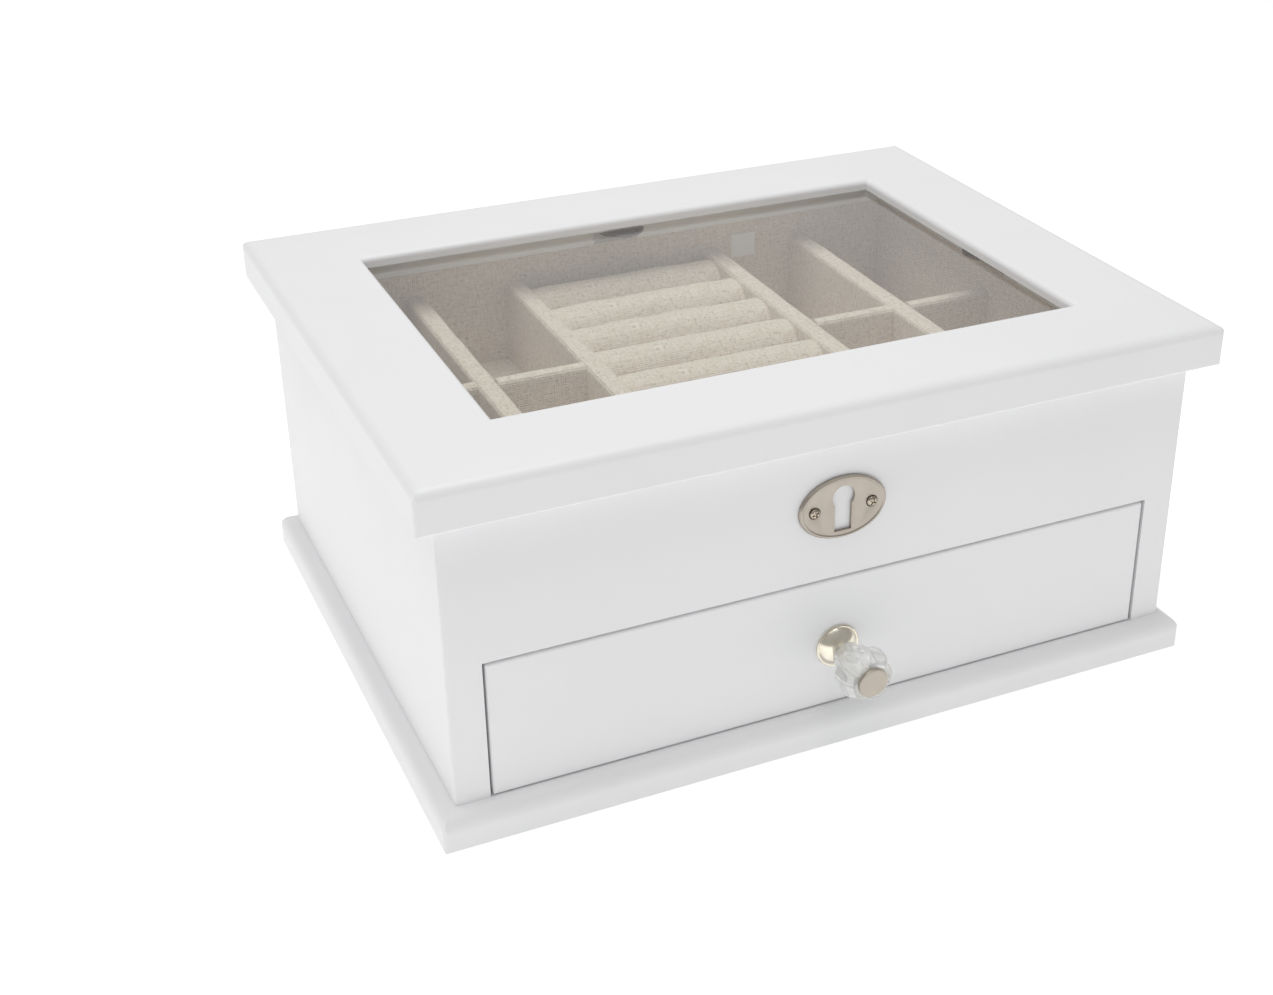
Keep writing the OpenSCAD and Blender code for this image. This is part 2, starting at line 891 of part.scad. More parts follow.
// A turned clear body that swells from the neck and draws in to the cap, with flutes round it
module knob_crystal() {
    flute_r = 0.3 * crystal_r;
    color("azure", 0.5) from_front(crystal_y) difference() {
        rotate_extrude() polygon([
            [0, 0], [0.46 * crystal_r, 0], [0.56 * crystal_r, 0.08 * crystal_l],
            [0.88 * crystal_r, 0.38 * crystal_l], [crystal_r, 0.62 * crystal_l],
            [0.95 * crystal_r, 0.8 * crystal_l], [0.66 * crystal_r, crystal_l], [0, crystal_l]
        ]);
        for (i = [0 : crystal_flutes - 1]) rotate([0, 0, (i + 0.5) * 360 / crystal_flutes])
            translate([crystal_r + 0.6 * flute_r, 0, -over])
            cylinder(h = crystal_l + 2 * over, r = flute_r);
        translate([0, 0, -over]) cylinder(h = crystal_l + 2 * over, r = bolt_r + bolt_play);
    }
}

module knob_bolt() {
    color(NICKEL) from_front(drawer_box_y + nut_t + bolt_tail) {
        cylinder(h = drawer_box_y + nut_t + bolt_tail - cap_y, r = bolt_r);
        translate([0, 0, drawer_box_y + nut_t + bolt_tail - cap_y])
            cylinder(h = cap_t, r = cap_r);
    }
}

module knob_nut() {
    color(NICKEL) from_front(drawer_box_y + nut_t) difference() {
        cylinder(h = nut_t, r = nut_flats / sqrt(3), $fn = 6);
        translate([0, 0, -over]) cylinder(h = nut_t + 2 * over, r = bolt_r + pin_play);
    }
}

base_board();
side_left();
side_right();
front_apron();
back_panel();
base_screws();
tray_floor();
lining_floor();
lining_front();
lining_back();
lining_left();
lining_right();
divider_outer_left();
divider_inner_left();
divider_inner_right();
divider_outer_right();
cross_outer_left();
cross_inner_left();
cross_inner_right();
cross_outer_right();
ring_roll(1);  // ring_roll_1
ring_roll(2);  // ring_roll_2
ring_roll(3);  // ring_roll_3
ring_roll(4);  // ring_roll_4
ring_roll(5);  // ring_roll_5
ring_roll(6);  // ring_roll_6
ring_roll(7);  // ring_roll_7
ring_roll(8);  // ring_roll_8
blank_tag();
keyhole_plate();
keyhole_screws();
hinge_body_leaf_left();
hinge_body_leaf_right();
hinge_pins();
hinge_body_screws();
lid_rail_front();
lid_rail_rear();
lid_stile_left();
lid_stile_right();
glass_pane();
clip_screws();
hinge_lid_leaf_left();
hinge_lid_leaf_right();
hinge_lid_screws();
glass_clip_front();
glass_clip_rear();
glass_clip_left();
glass_clip_right();
drawer_front();
drawer_side_left();
drawer_side_right();
drawer_back();
drawer_bottom();
drawer_lining();
drawer_divider_long();
drawer_divider_cross();
knob_rose();
knob_crystal();
knob_bolt();
knob_nut();
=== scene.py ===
import contextlib
import json
import math

import bmesh
import bpy
from mathutils import Matrix, Quaternion, Vector, noise


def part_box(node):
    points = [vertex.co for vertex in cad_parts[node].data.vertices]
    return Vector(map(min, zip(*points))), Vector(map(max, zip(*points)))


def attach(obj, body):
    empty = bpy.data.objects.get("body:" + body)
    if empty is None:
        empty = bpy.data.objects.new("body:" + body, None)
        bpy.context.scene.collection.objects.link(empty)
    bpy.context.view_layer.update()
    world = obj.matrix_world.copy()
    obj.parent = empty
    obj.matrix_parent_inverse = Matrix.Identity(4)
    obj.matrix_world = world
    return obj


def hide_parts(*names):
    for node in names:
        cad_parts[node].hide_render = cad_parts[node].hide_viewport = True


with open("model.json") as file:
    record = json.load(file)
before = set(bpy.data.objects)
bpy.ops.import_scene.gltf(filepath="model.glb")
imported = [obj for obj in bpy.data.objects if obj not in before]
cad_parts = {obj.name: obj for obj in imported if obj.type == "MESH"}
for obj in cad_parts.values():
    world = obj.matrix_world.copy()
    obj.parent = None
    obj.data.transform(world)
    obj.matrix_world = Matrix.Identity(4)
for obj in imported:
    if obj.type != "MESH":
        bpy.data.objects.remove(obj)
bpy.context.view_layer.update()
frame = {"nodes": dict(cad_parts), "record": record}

# The jewellery chest's looks: painted boards, a cloth-lined tray under a glazed lid, and a drawer
# with a clear knob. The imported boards, glass, hinge leaves and pins, and base screws are kept. Cloth,
# the keyhole plate, the clips, the other screws and the knob are modelled here in their places.

MM = 0.001
UP = Vector((0, 0, 1))
FORWARD = Vector((0, -1, 0))
SMOOTH_ANGLE = math.radians(35)
MERGE_GAP = 0.001 * MM
SAME = 0.01 * MM             # lengths closer than this count as the same
NEAR = 0.1 * MM              # points closer than this to a level count as on it

# Soft tray
CLOTH_GRAIN = 3.0 * MM       # the size of the panels' mesh
CLOTH_RIPPLE = 0.22 * MM     # how far a covered panel is from flat
BOARD_EASE = 0.5 * MM        # the round where cloth turns over a wall panel's edge
DIVIDER_EASE = 2.2 * MM      # the same on a divider's padded top
ROLL_INSET = 0.5 * MM        # how much smaller a roll starts than the room it has
ROLL_VOXEL = 1.2 * MM
ROLL_SWELL = 1.6 * MM        # the most that a point of a roll moves as it fills
ROLL_RIPPLE = 0.45 * MM
ROLL_END_CRUSH = 1.0 * MM    # how much longer a roll is before its dividers press its ends flat
ROLL_DROOP = 0.3 * MM        # how far a roll's ends drop to its dividers
ROLL_DROOP_LENGTH = 4.0 * MM
ROLL_CROWN = 0.97            # how much of a roll's radius its top edges are rounded by
ROLL_END_EASE = 0.6 * MM
ROLL_GAP = 0.02 * MM         # the least room between two rolls
PRESSURE = 4                 # the push of the foam from inside
FILL_STEPS = 20
CREST_LEVEL = 0.02 * MM      # the least height over a roll's axis that its map is measured at
CLOTH_WAVE = 11 * MM         # the length of a panel's ripples, and of a roll's
ROLL_WAVE = 13 * MM
CLOTH_SHADE_ANGLE = math.radians(60)
ROLL_SHADE_ANGLE = math.radians(80)
EASE_LIMIT = 0.45            # a round takes no more than this share of the thinnest side
TRAY_SEED, DIVIDER_SEED, DRAWER_SEED, ROLL_SEED = 1.7, 21.4, 41.3, 5.3
DRAWER_EASE = 0.4 * MM
TAG_T = 0.15 * MM
TAG_LIFT = 0.25 * MM         # how far the tag's lower corners stand off the wall

# Metal fittings
SCREW_SIDES = 40
TURNED_SIDES = 72            # of the clips and the knob's rose
BOLT_SIDES = 64
NUT_SIDES = 6
PLATE_SCREW_TURNS = ((-1, 24), (1, 61))       # which side, and the way its cross points
CLIP_SCREW_TURNS = (12, 50, 33, 71)           # front, rear, left, right
HINGE_SCREW_TURN, HINGE_SCREW_STEP = 17, 23
CLIP_SCREW_SHANK_R = 1.4 * MM
CLIP_SCREW_HEAD_L = 1.5 * MM
SCREW_DOME = ((0.35, 1.0), (0.7, 0.86), (0.92, 0.6), (1.0, 0.3))   # shares of a head's height, radius
RECESS_ARM = (0.7, 0.17)     # half the cross recess's length and width, as shares of the head's radius
RECESS_RISE = 1.3            # the height of the middle of the cutter, as a share of the head's
PLATE_SCREW = (1.1 * MM, 0.9 * MM, 3 * MM)    # head height, shank radius, shank length
PLATE_SCREW_PLAY = 0.1 * MM
PLATE_SCREW_SINK = 0.45 * MM
HINGE_SCREW = (0.6 * MM, 1.2 * MM, 3 * MM)
HINGE_SCREW_SINK = 0.5 * MM
PLATE_LIP = 1.0 * MM         # width of the keyhole plate's raised rim
SCREW_SEAT_GAP = 0.2 * MM    # the dark ring round a plate screw
PLATE_DISH = 0.3 * MM        # how far the plate's face lies behind that rim
PLATE_SLOPE = 0.3 * MM       # the width of the step down to that face
PLATE_CHAMFER = 0.45 * MM    # how far the rim's outer edge draws in
PLATE_WALL, PLATE_CROWN = 0.55, 0.45    # the upright and the drawn-in share of the plate's thickness
PLATE_EASE = 0.18 * MM
KEY_HEAD_R = 4.3 * MM
KEY_SLOT_W = 6.5 * MM
KEY_TOP_DROP = 3.6 * MM      # from the top of the plate to the top of the keyhole
KEY_FOOT_RISE = 2.8 * MM     # from the foot of the plate to the foot of the keyhole
CLIP_R = 10 * MM
CLIP_HOLE_R = 1.7 * MM
CLIP_EASE = 0.28 * MM
CLIP_TURNS = {               # from each clip's inner edge to its screw, and the way it faces
    "rear": (0, CLIP_R, 0),
    "left": (-CLIP_R, 0, 90),
    "front": (0, -CLIP_R, 180),
    "right": (CLIP_R, 0, 270),
}

# Knob
ROSE_FLANGE_T = 1.0 * MM
ROSE_DOME_H = 4.2 * MM
ROSE_NECK_R = 3.6 * MM
ROSE_EASE = 0.25 * MM
ROSE_STEP = 0.6 * MM         # how far the dome starts inside the flange's edge
ROSE_STEPS = 8
CRYSTAL_PROFILE = (          # shares of the clear body's length and radius, from its foot
    (0, 0.46), (0.06, 0.52), (0.18, 0.58), (0.32, 0.68), (0.44, 0.85), (0.54, 0.97),
    (0.63, 1.0), (0.74, 0.99), (0.85, 0.94), (0.94, 0.85), (1, 0.74))
FLUTE_FROM, FLUTE_TO = 0.4, 0.98        # where the flutes start and end along it
CRYSTAL_ANGLE = math.radians(28)
BORE_PLAY = 0.1 * MM
FLUTES = 8
LOBE_STEPS = 8             # columns of the mesh from one flute to the next
FLUTE_DEPTH = 0.2          # the share of the radius that a flute takes away
BOLT_R = 2.0 * MM
BOLT_TIP = 0.3 * MM
CAP_T = 1.5 * MM
CAP_PROFILE = (              # mm below the cap's end face, and mm in from its rim
    (1.5, 0.2), (1.3, 0), (0.45, 0), (0.2, 0.12), (0.05, 0.4), (0, 0.9))
NUT_CLEAR_R = 6.5 * MM
NUT_CHAMFER_R = 0.92         # a nut's end radius, and its chamfer's length, as shares
NUT_CHAMFER_L = 0.12
NUT_EASE = 0.12 * MM

# Materials: the numbered sockets of the Map Range node and the Mix node, and shares
FROM_LOW, FROM_HIGH, TO_LOW, TO_HIGH = 1, 2, 3, 4
MIX_SHARE, MIX_FIRST, MIX_SECOND, MIX_RESULT = 0, 6, 7, 2
CRYSTAL_PALE = 0.35          # how much of the knob is haze and not clear acrylic
HAZE_CLEAR = 0.35            # how much of that haze is see-through
PANE_FACES = 1.6             # what both faces of a pane mirror together, against one

# Studio
FLOOR_SIZE = 14
FLOOR_GLOW = 0.38
WORLD_LIGHT = 0.4
REAR_GLOW = 0.42             # how much brighter the room is in the middle of the part behind the chest
GLOW_TURN = math.radians(-27)
GLOW_TILT = math.radians(18)
GLOW_EDGE, GLOW_CORE = 0.94, 0.995      # cosines of the angles at which that part ends and is full
LAMP_PLACE = (-0.2, 0.0, 1.5)
LAMP_TARGET = (0, 0, 0.05)
LAMP_SIZE = 1.3
LAMP_POWER = 13.8
SENSOR_WIDTH = 36
FOCAL_LENGTH = 51.98
LENS_SHIFT = (-0.0709, -0.0366)
CLIP_NEAR, CLIP_FAR = 0.05, 30
CAMERA_PLACE = (-0.2704, -0.5874, 0.3946)
CAMERA_TURN = math.radians(-25.38)
CAMERA_TILT = math.radians(62.96)
CAMERA_ROLL = math.radians(0.166)


# ---- modelling ----

def primitive(add, name, scale=(1, 1, 1), **options):
    """Adds one primitive with nothing else selected, and puts its place into its mesh."""
    bpy.ops.object.select_all(action="DESELECT")
    add(**options)
    piece = bpy.context.object
    piece.scale = scale
    piece.name = name
    piece.data.name = name
    bpy.ops.object.transform_apply(location=True, rotation=True, scale=True)
    return piece


def block(name, low, high):
    """A box between two corners, which the callers go on to shape."""
    return primitive(bpy.ops.mesh.primitive_cube_add, name, size=1,
                     location=(low + high) / 2, scale=high - low)


@contextlib.contextmanager
def editing(piece, kind="FACE"):
    """Edit mode on one piece, which gives its bmesh for choosing what the operators act on."""
    bpy.ops.object.select_all(action="DESELECT")
    bpy.context.view_layer.objects.active = piece
    piece.select_set(True)
    bpy.ops.object.mode_set(mode="EDIT")
    bpy.ops.mesh.select_mode(type=kind)
    yield bmesh.from_edit_mesh(piece.data)
    bpy.ops.object.mode_set(mode="OBJECT")


def choose(shape, parts, wanted):
    """Selects only those vertices, edges or faces that the test wants."""
    for group in (shape.verts, shape.edges, shape.faces):
        for part in group:
            part.select = False
    for part in parts:
        if wanted(part):
            part.select_set(True)
    shape.select_flush_mode()


def apply_modifiers(piece):
    bpy.ops.object.select_all(action="DESELECT")
    bpy.context.view_layer.objects.active = piece
    piece.select_set(True)
    for modifier in list(piece.modifiers):
        bpy.ops.object.modifier_apply(modifier=modifier.name)


def face_out(piece):
    """Merges doubles and turns every face outwards."""
    with editing(piece):
        bpy.ops.mesh.select_all(action="SELECT")
        bpy.ops.mesh.remove_doubles(threshold=MERGE_GAP)
        bpy.ops.mesh.normals_make_consistent(inside=False)


def smoothed(piece, angle=SMOOTH_ANGLE):
    bpy.ops.object.select_all(action="DESELECT")
    bpy.context.view_layer.objects.active = piece
    piece.select_set(True)
    bpy.ops.object.shade_smooth_by_angle(angle=angle)
    return piece


def eased(piece, width, segments=2, angle=SMOOTH_ANGLE):
    """Rounds every edge that is sharper than the angle, then shades the piece smooth between edges."""
    bevel = piece.modifiers.new("eased", "BEVEL")
    bevel.width = width
    bevel.segments = segments
    bevel.limit_method = "ANGLE"
    bevel.angle_limit = angle
    apply_modifiers(piece)
    return smoothed(piece, angle)


def cut(piece, tool):
    """Takes one closed shape out of another and throws the tool away."""
    knife = piece.modifiers.new("cut", "BOOLEAN")
    knife.operation = "DIFFERENCE"
    knife.solver = "EXACT"
    knife.object = tool
    apply_modifiers(piece)
    bpy.data.objects.remove(tool)


def turned(name, stations, sides):
    """A lathe shape on the Z axis: a filled circle is drawn out from station to station.

    A station is (height, radius)."""
    height, radius = stations[0]
    piece = primitive(bpy.ops.mesh.primitive_circle_add, name, vertices=sides, radius=radius,
                      fill_type="NGON", location=(0, 0, height))
    with editing(piece):
        bpy.ops.mesh.select_all(action="SELECT")
        for next_height, next_radius in stations[1:]:
            rise = next_height - height
            grow = next_radius / radius
            bpy.ops.mesh.extrude_region_move(TRANSFORM_OT_translate={"value": (0, 0, rise)})
            bpy.ops.transform.resize(value=(grow, grow, 1), center_override=(0, 0, next_height))
            height, radius = next_height, next_radius
    face_out(piece)
    return piece


def stood(piece, at, axis):
    """Turns a piece made on the Z axis to stand along another axis at a place."""
    piece.data.transform(Matrix.Translation(at) @ UP.rotation_difference(axis).to_matrix().to_4x4())
    return piece


def copy_of(piece, name, move):
    """Another of the same piece, with its own mesh, moved by a matrix."""
    twin = piece.copy()
    twin.data = piece.data.copy()
    twin.data.transform(move)
    twin.name = name
    twin.data.name = name
    bpy.context.scene.collection.objects.link(twin)
    return twin


def finish_piece(piece, body, surface, slot, *nodes):
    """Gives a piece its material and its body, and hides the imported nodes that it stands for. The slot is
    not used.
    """
    piece.data.materials.clear()
    piece.data.materials.append(surface)
    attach(piece, body)
    if nodes:
        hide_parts(*nodes)
    return piece


# ---- cloth-covered pieces ----

def lay_cloth(piece):
    """A UV map in metres: each face's cloth lies flat on the side of the box that it looks towards."""
    cloth = piece.data.uv_layers.new(name="cloth")
    for face in piece.data.polygons:
        away = max(range(3), key=lambda axis: abs(face.normal[axis]))
        across, along = [axis for axis in range(3) if axis != away]
        for corner in face.loop_indices:
            place = piece.data.vertices[piece.data.loops[corner].vertex_index].co
            cloth.data[corner].uv = (place[across], place[along])


def ripple(piece, height, length, seed, low, high):
    """Moves a mesh's points a little along their normals, in waves of about one length.

    The points stay between two corners."""
    mesh = piece.data
    normals = [vertex.normal.copy() for vertex in mesh.vertices]
    for vertex, normal in zip(mesh.vertices, normals):
        wave = noise.noise(vertex.co / length + Vector((seed, 2 * seed, 3 * seed)))
        place = vertex.co + normal * (wave * height)
        vertex.co = [min(max(place[axis], low[axis]), high[axis]) for axis in range(3)]
    mesh.update()


def covered_panel(name, node_name, ease, seed, crown_only=False):
    """A thin board in cloth: a box with its edges turned over and its faces a little uneven.

    A divider butts against its neighbours, so only its crown's two long edges are rounded."""
    low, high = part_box(node_name)
    panel = block(name, low, high)
    size = high - low
    long_axis = 0 if size.x > size.y else 1

    def rounded(edge):
        first, last = (vertex.co for vertex in edge.verts)
        on_crown = min(first.z, last.z) > high.z - NEAR
        return not crown_only or (on_crown and abs(first[long_axis] - last[long_axis]) > size[long_axis] / 2)

    with editing(panel) as shape:
        choose(shape, shape.edges, rounded)
        bpy.ops.mesh.bevel(offset=min(ease, EASE_LIMIT * min(size)), segments=5, affect="EDGES")
        for axis in range(3):
            steps = max(1, round(size[axis] / CLOTH_GRAIN))
            for step in range(1, steps):
                place = low.copy()
                place[axis] += size[axis] * step / steps
                normal = [0, 0, 0]
                normal[axis] = 1
                bpy.ops.mesh.select_all(action="SELECT")
                bpy.ops.mesh.bisect(plane_co=place, plane_no=normal)
    ripple(panel, CLOTH_RIPPLE, CLOTH_WAVE, seed, low, high)
    smoothed(panel, CLOTH_SHADE_ANGLE)
    lay_cloth(panel)
    return panel


def roll_start(name, low, high):
    """A roll before it is filled: a loaf with a half-round top and softened ends."""
    inset = Vector((ROLL_INSET, ROLL_INSET, ROLL_INSET))
    loaf = block(name, low + inset, high - inset)
    radius = (high.y - low.y) / 2 - ROLL_INSET
    with editing(loaf, "EDGE") as shape:
        choose(shape, shape.edges, lambda edge: all(
            vertex.co.z > high.z - 2 * ROLL_INSET for vertex in edge.verts)
            and abs(edge.verts[0].co.x - edge.verts[1].co.x) > MM)
        bpy.ops.mesh.bevel(offset=ROLL_CROWN * radius, segments=14, affect="EDGES")
        choose(shape, shape.edges, lambda edge: abs(edge.verts[0].co.x - edge.verts[1].co.x) < SAME)
        bpy.ops.mesh.bevel(offset=ROLL_END_EASE, segments=3, affect="EDGES", clamp_overlap=True)
    face_out(loaf)
    return loaf


def remeshed(piece, voxel):
    remesh = piece.modifiers.new("remesh", "REMESH")
    remesh.mode = "VOXEL"
    remesh.voxel_size = voxel
    apply_modifiers(piece)


def filled(piece, swell):
    """Blows a closed cloth shape out a little, as its foam does, and keeps each point near its start."""
    starts = [vertex.co.copy() for vertex in piece.data.vertices]
    cloth = piece.modifiers.new("filling", "CLOTH")
    cloth.settings.use_pressure = True
    cloth.settings.uniform_pressure_force = PRESSURE
    cloth.settings.effector_weights.gravity = 0
    cloth.point_cache.frame_start = 1
    cloth.point_cache.frame_end = FILL_STEPS
    for step in range(1, FILL_STEPS + 1):
        bpy.context.scene.frame_set(step)
    apply_modifiers(piece)
    bpy.context.scene.frame_set(1)
    for vertex, start in zip(piece.data.vertices, starts):
        shift = vertex.co - start
        if shift.length > swell:
            vertex.co = start + shift * (swell / shift.length)


def stretched_to(piece, low, high):
    """Stretches a piece so that it fills the room between two corners."""
    corners = [Vector(corner) for corner in piece.bound_box]
    first = Vector([min(corner[axis] for corner in corners) for axis in range(3)])
    last = Vector([max(corner[axis] for corner in corners) for axis in range(3)])
    for vertex in piece.data.vertices:
        for axis in range(3):
            share = (vertex.co[axis] - first[axis]) / (last[axis] - first[axis])
            vertex.co[axis] = low[axis] + share * (high[axis] - low[axis])
    piece.data.update()


def rounded_cloth_map(piece, axis_y, axis_z, radius):
    """A UV map in metres for a roll: along it, and round it by the length of the arc."""
    cloth = piece.data.uv_layers.new(name="cloth")
    mesh = piece.data
    for face in mesh.polygons:
        for corner in face.loop_indices:
            place = mesh.vertices[mesh.loops[corner].vertex_index].co
            angle = math.atan2(place.y - axis_y, max(place.z - axis_z, CREST_LEVEL))
            fall = max(axis_z - place.z, 0) * (1 if place.y > axis_y else -1)
            cloth.data[corner].uv = (place.x, angle * radius + fall)


def droop(piece, low, high):
    """Lets a roll's ends sink towards its dividers, more at the crest than at the foot."""
    for vertex in piece.data.vertices:
        inward = min(vertex.co.x - low.x, high.x - vertex.co.x)
        near_end = max(0.0, 1 - inward / ROLL_DROOP_LENGTH)
        crest = max(0.0, (vertex.co.z - low.z) / (high.z - low.z))
        vertex.co.z -= ROLL_DROOP * near_end ** 2 * crest ** 2


def ring_rolls(surface):
    """The foam rolls that hold rings: one is filled, and the others are copies with their own ripples."""
    names = sorted(name for name in frame["nodes"] if name.startswith("ring_roll_"))
    low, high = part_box(names[0])
    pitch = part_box(names[0])[0].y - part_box(names[1])[0].y
    first = roll_start("ring_cushion_start", low, high)
    remeshed(first, ROLL_VOXEL)
    filled(first, ROLL_SWELL)
    divide = first.modifiers.new("finer", "SUBSURF")
    divide.levels = 1
    divide.render_levels = 1
    apply_modifiers(first)
    bpy.context.view_layer.update()
    crush = Vector((ROLL_END_CRUSH, 0, 0))
    stretched_to(first, low - crush, high + crush)
    droop(first, low, high)
    spare = (pitch - (high.y - low.y)) / 2 - ROLL_GAP
    room = Vector((0, spare, 0))
    for index, node_name in enumerate(names):
        own_low, own_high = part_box(node_name)
        roll = copy_of(first, f"ring_cushion_{index + 1}", Matrix.Translation(own_low - low))
        ripple(roll, ROLL_RIPPLE, ROLL_WAVE, ROLL_SEED + index, own_low - room, own_high + room)
        smoothed(roll, ROLL_SHADE_ANGLE)
        radius = (own_high.y - own_low.y) / 2
        rounded_cloth_map(roll, (own_low.y + own_high.y) / 2, own_high.z - radius, radius)
        finish_piece(roll, "chest", surface, "linen", node_name)
    bpy.data.objects.remove(first)


def tray_cloth(surface):
    """Wall and bed panels, and the padded dividers between the cells."""
    panels = {
        "lining_floor": "tray_bed_cloth",
        "lining_front": "tray_front_cloth",
        "lining_back": "tray_rear_cloth",
        "lining_left": "tray_left_cloth",
        "lining_right": "tray_right_cloth",
    }
    for seed, (node_name, name) in enumerate(panels.items()):
        panel = covered_panel(name, node_name, BOARD_EASE, TRAY_SEED + seed)
        finish_piece(panel, "chest", surface, "linen", node_name)
    dividers = [name for name in frame["nodes"] if name.startswith(("divider_", "cross_"))]
    for seed, node_name in enumerate(sorted(dividers)):
        divider = covered_panel("padded_" + node_name, node_name, DIVIDER_EASE, DIVIDER_SEED + seed, True)
        finish_piece(divider, "chest", surface, "linen", node_name)


def drawer_cloth(surface):
    """The drawer's cloth: a tray hollowed out of a block, with a hole at the nut, and two dividers."""
    low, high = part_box("drawer_lining")
    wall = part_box("drawer_divider_long")[0].y - low.y
    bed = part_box("drawer_divider_long")[0].z
    tray = block("drawer_cloth_tray", low, high)
    with editing(tray) as shape:
        choose(shape, shape.faces, lambda face: face.normal.z > 0.9)
        bpy.ops.mesh.inset(thickness=wall, depth=0)
        bpy.ops.mesh.extrude_region_move(TRANSFORM_OT_translate={"value": (0, 0, bed - high.z)})
    nut_low, nut_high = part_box("knob_nut")
    drill = primitive(bpy.ops.mesh.primitive_cylinder_add, "drill", vertices=48, radius=NUT_CLEAR_R,
                      depth=4 * wall, location=(0, low.y, (nut_low.z + nut_high.z) / 2),
                      rotation=(math.pi / 2, 0, 0))
    cut(tray, drill)
    eased(tray, DRAWER_EASE)
    lay_cloth(tray)
    finish_piece(tray, "drawer", surface, "linen", "drawer_lining")
    for seed, node_name in enumerate(("drawer_divider_long", "drawer_divider_cross")):
        divider = covered_panel("padded_" + node_name, node_name, DIVIDER_EASE, DRAWER_SEED + seed, True)
        finish_piece(divider, "drawer", surface, "linen", node_name)


def tag(surface):
    """A blank woven tag, sewn flat at its top, with its lower corners just lifting."""
    low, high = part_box("blank_tag")
    width, drop = high.x - low.x, high.z - low.z
    label = primitive(bpy.ops.mesh.primitive_grid_add, "sewn_tag", x_subdivisions=24, y_subdivisions=28,
                      size=1, location=((low.x + high.x) / 2, high.y - TAG_T, (low.z + high.z) / 2),
                      rotation=(math.pi / 2, 0, 0), scale=(width, drop, 1))
    for vertex in label.data.vertices:
        down = (high.z - vertex.co.z) / drop
        aside = abs(vertex.co.x - (low.x + high.x) / 2) / (width / 2)
        vertex.co.y -= TAG_LIFT * down ** 3 * aside ** 2
    thick = label.modifiers.new("thick", "SOLIDIFY")
    thick.thickness = TAG_T
    apply_modifiers(label)
    smoothed(label)
    lay_cloth(label)
    finish_piece(label, "chest", surface, "tag_cloth", "blank_tag")


# ---- metal fittings ----

def cross_head_screw(name, head_r, head_l, shank_r, shank_l):
    """A domed screw head with a cross recess, on a plain shank. The head's seat is at z = 0."""
    dome = [(rise * head_l, share * head_r) for rise, share in SCREW_DOME]
    screw = turned(name, [(-shank_l, shank_r), (0, shank_r), (0, head_r)] + dome, SCREW_SIDES)
    long_arm, short_arm = (share * head_r for share in RECESS_ARM)
    lift = Vector((0, 0, RECESS_RISE * head_l))
    for reach in (Vector((long_arm, short_arm, head_l)), Vector((short_arm, long_arm, head_l))):
        cut(screw, block("recess", lift - reach, lift + reach))
    smoothed(screw)
    return screw


def set_screws(stem, master, places, axis, body, surface, slot, node_name):
    """Copies one screw to each place, facing along an axis, and lays the master aside."""
    for index, (place, turn) in enumerate(places):
        spin = Matrix.Rotation(math.radians(turn), 4, "Z")
        stand = UP.rotation_difference(axis).to_matrix().to_4x4()
        screw = copy_of(master, f"{stem}_{index + 1}", Matrix.Translation(place) @ stand @ spin)
        finish_piece(screw, body, surface, slot, node_name)


def screws(nickel, bronze):
    """Every screw head that shows: two in the keyhole plate, four on the clips, eight in the hinges."""
    low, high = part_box("keyhole_screws")
    head_r = (high.z - low.z) / 2
    middle = (low + high) / 2
    master = cross_head_screw("screw_start", head_r - PLATE_SCREW_PLAY, *PLATE_SCREW)
    places = [(Vector((side * (high.x - head_r), low.y + PLATE_SCREW_SINK, middle.z)), turn)
              for side, turn in PLATE_SCREW_TURNS]
    # The plate screws take the darker nickel copy, whose colour is painted dark reflection.
    set_screws("plate_screw", master, places, FORWARD, "chest", nickel, "polished_nickel", "keyhole_screws")
    bpy.data.objects.remove(master)

    low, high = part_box("clip_screws")
    head_r = high.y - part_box("glass_clip_rear")[0].y - CLIP_R
    seat = low.z + CLIP_SCREW_HEAD_L
    reach = Vector((high.x - head_r, high.y - head_r, 0))
    master = cross_head_screw("screw_start", head_r, CLIP_SCREW_HEAD_L, CLIP_SCREW_SHANK_R,
                              high.z - seat)
    seats = [Vector(seat_at) for seat_at in ((0, -reach.y, seat), (0, reach.y, seat),
                                             (-reach.x, 0, seat), (reach.x, 0, seat))]
    places = list(zip(seats, CLIP_SCREW_TURNS))
    set_screws("clip_screw", master, places, -UP, "lid", bronze, "antique_bronze", "clip_screws")
    bpy.data.objects.remove(master)

    for node_name, body, face, axis in (("hinge_body_screws", "chest", 1, UP),
                                        ("hinge_lid_screws", "lid", 0, -UP)):
        low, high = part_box(node_name)
        leaf_low, leaf_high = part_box("hinge_body_leaf_right")
        head_r = (high.y - low.y) / 2
        level = (low, high)[face].z
        inner = (leaf_low.x + leaf_high.x) - (high.x - head_r)
        master = cross_head_screw("screw_start", head_r, *HINGE_SCREW)
        stem = node_name.replace("screws", "screw")
        seats = [side * x for side in (-1, 1) for x in (inner, high.x - head_r)]
        places = [(Vector((x, (low.y + high.y) / 2, level)) - axis * HINGE_SCREW_SINK,
                   HINGE_SCREW_TURN + HINGE_SCREW_STEP * turn)
                  for turn, x in enumerate(seats)]
        set_screws(stem, master, places, axis, body, bronze, "antique_bronze", node_name)
        bpy.data.objects.remove(master)


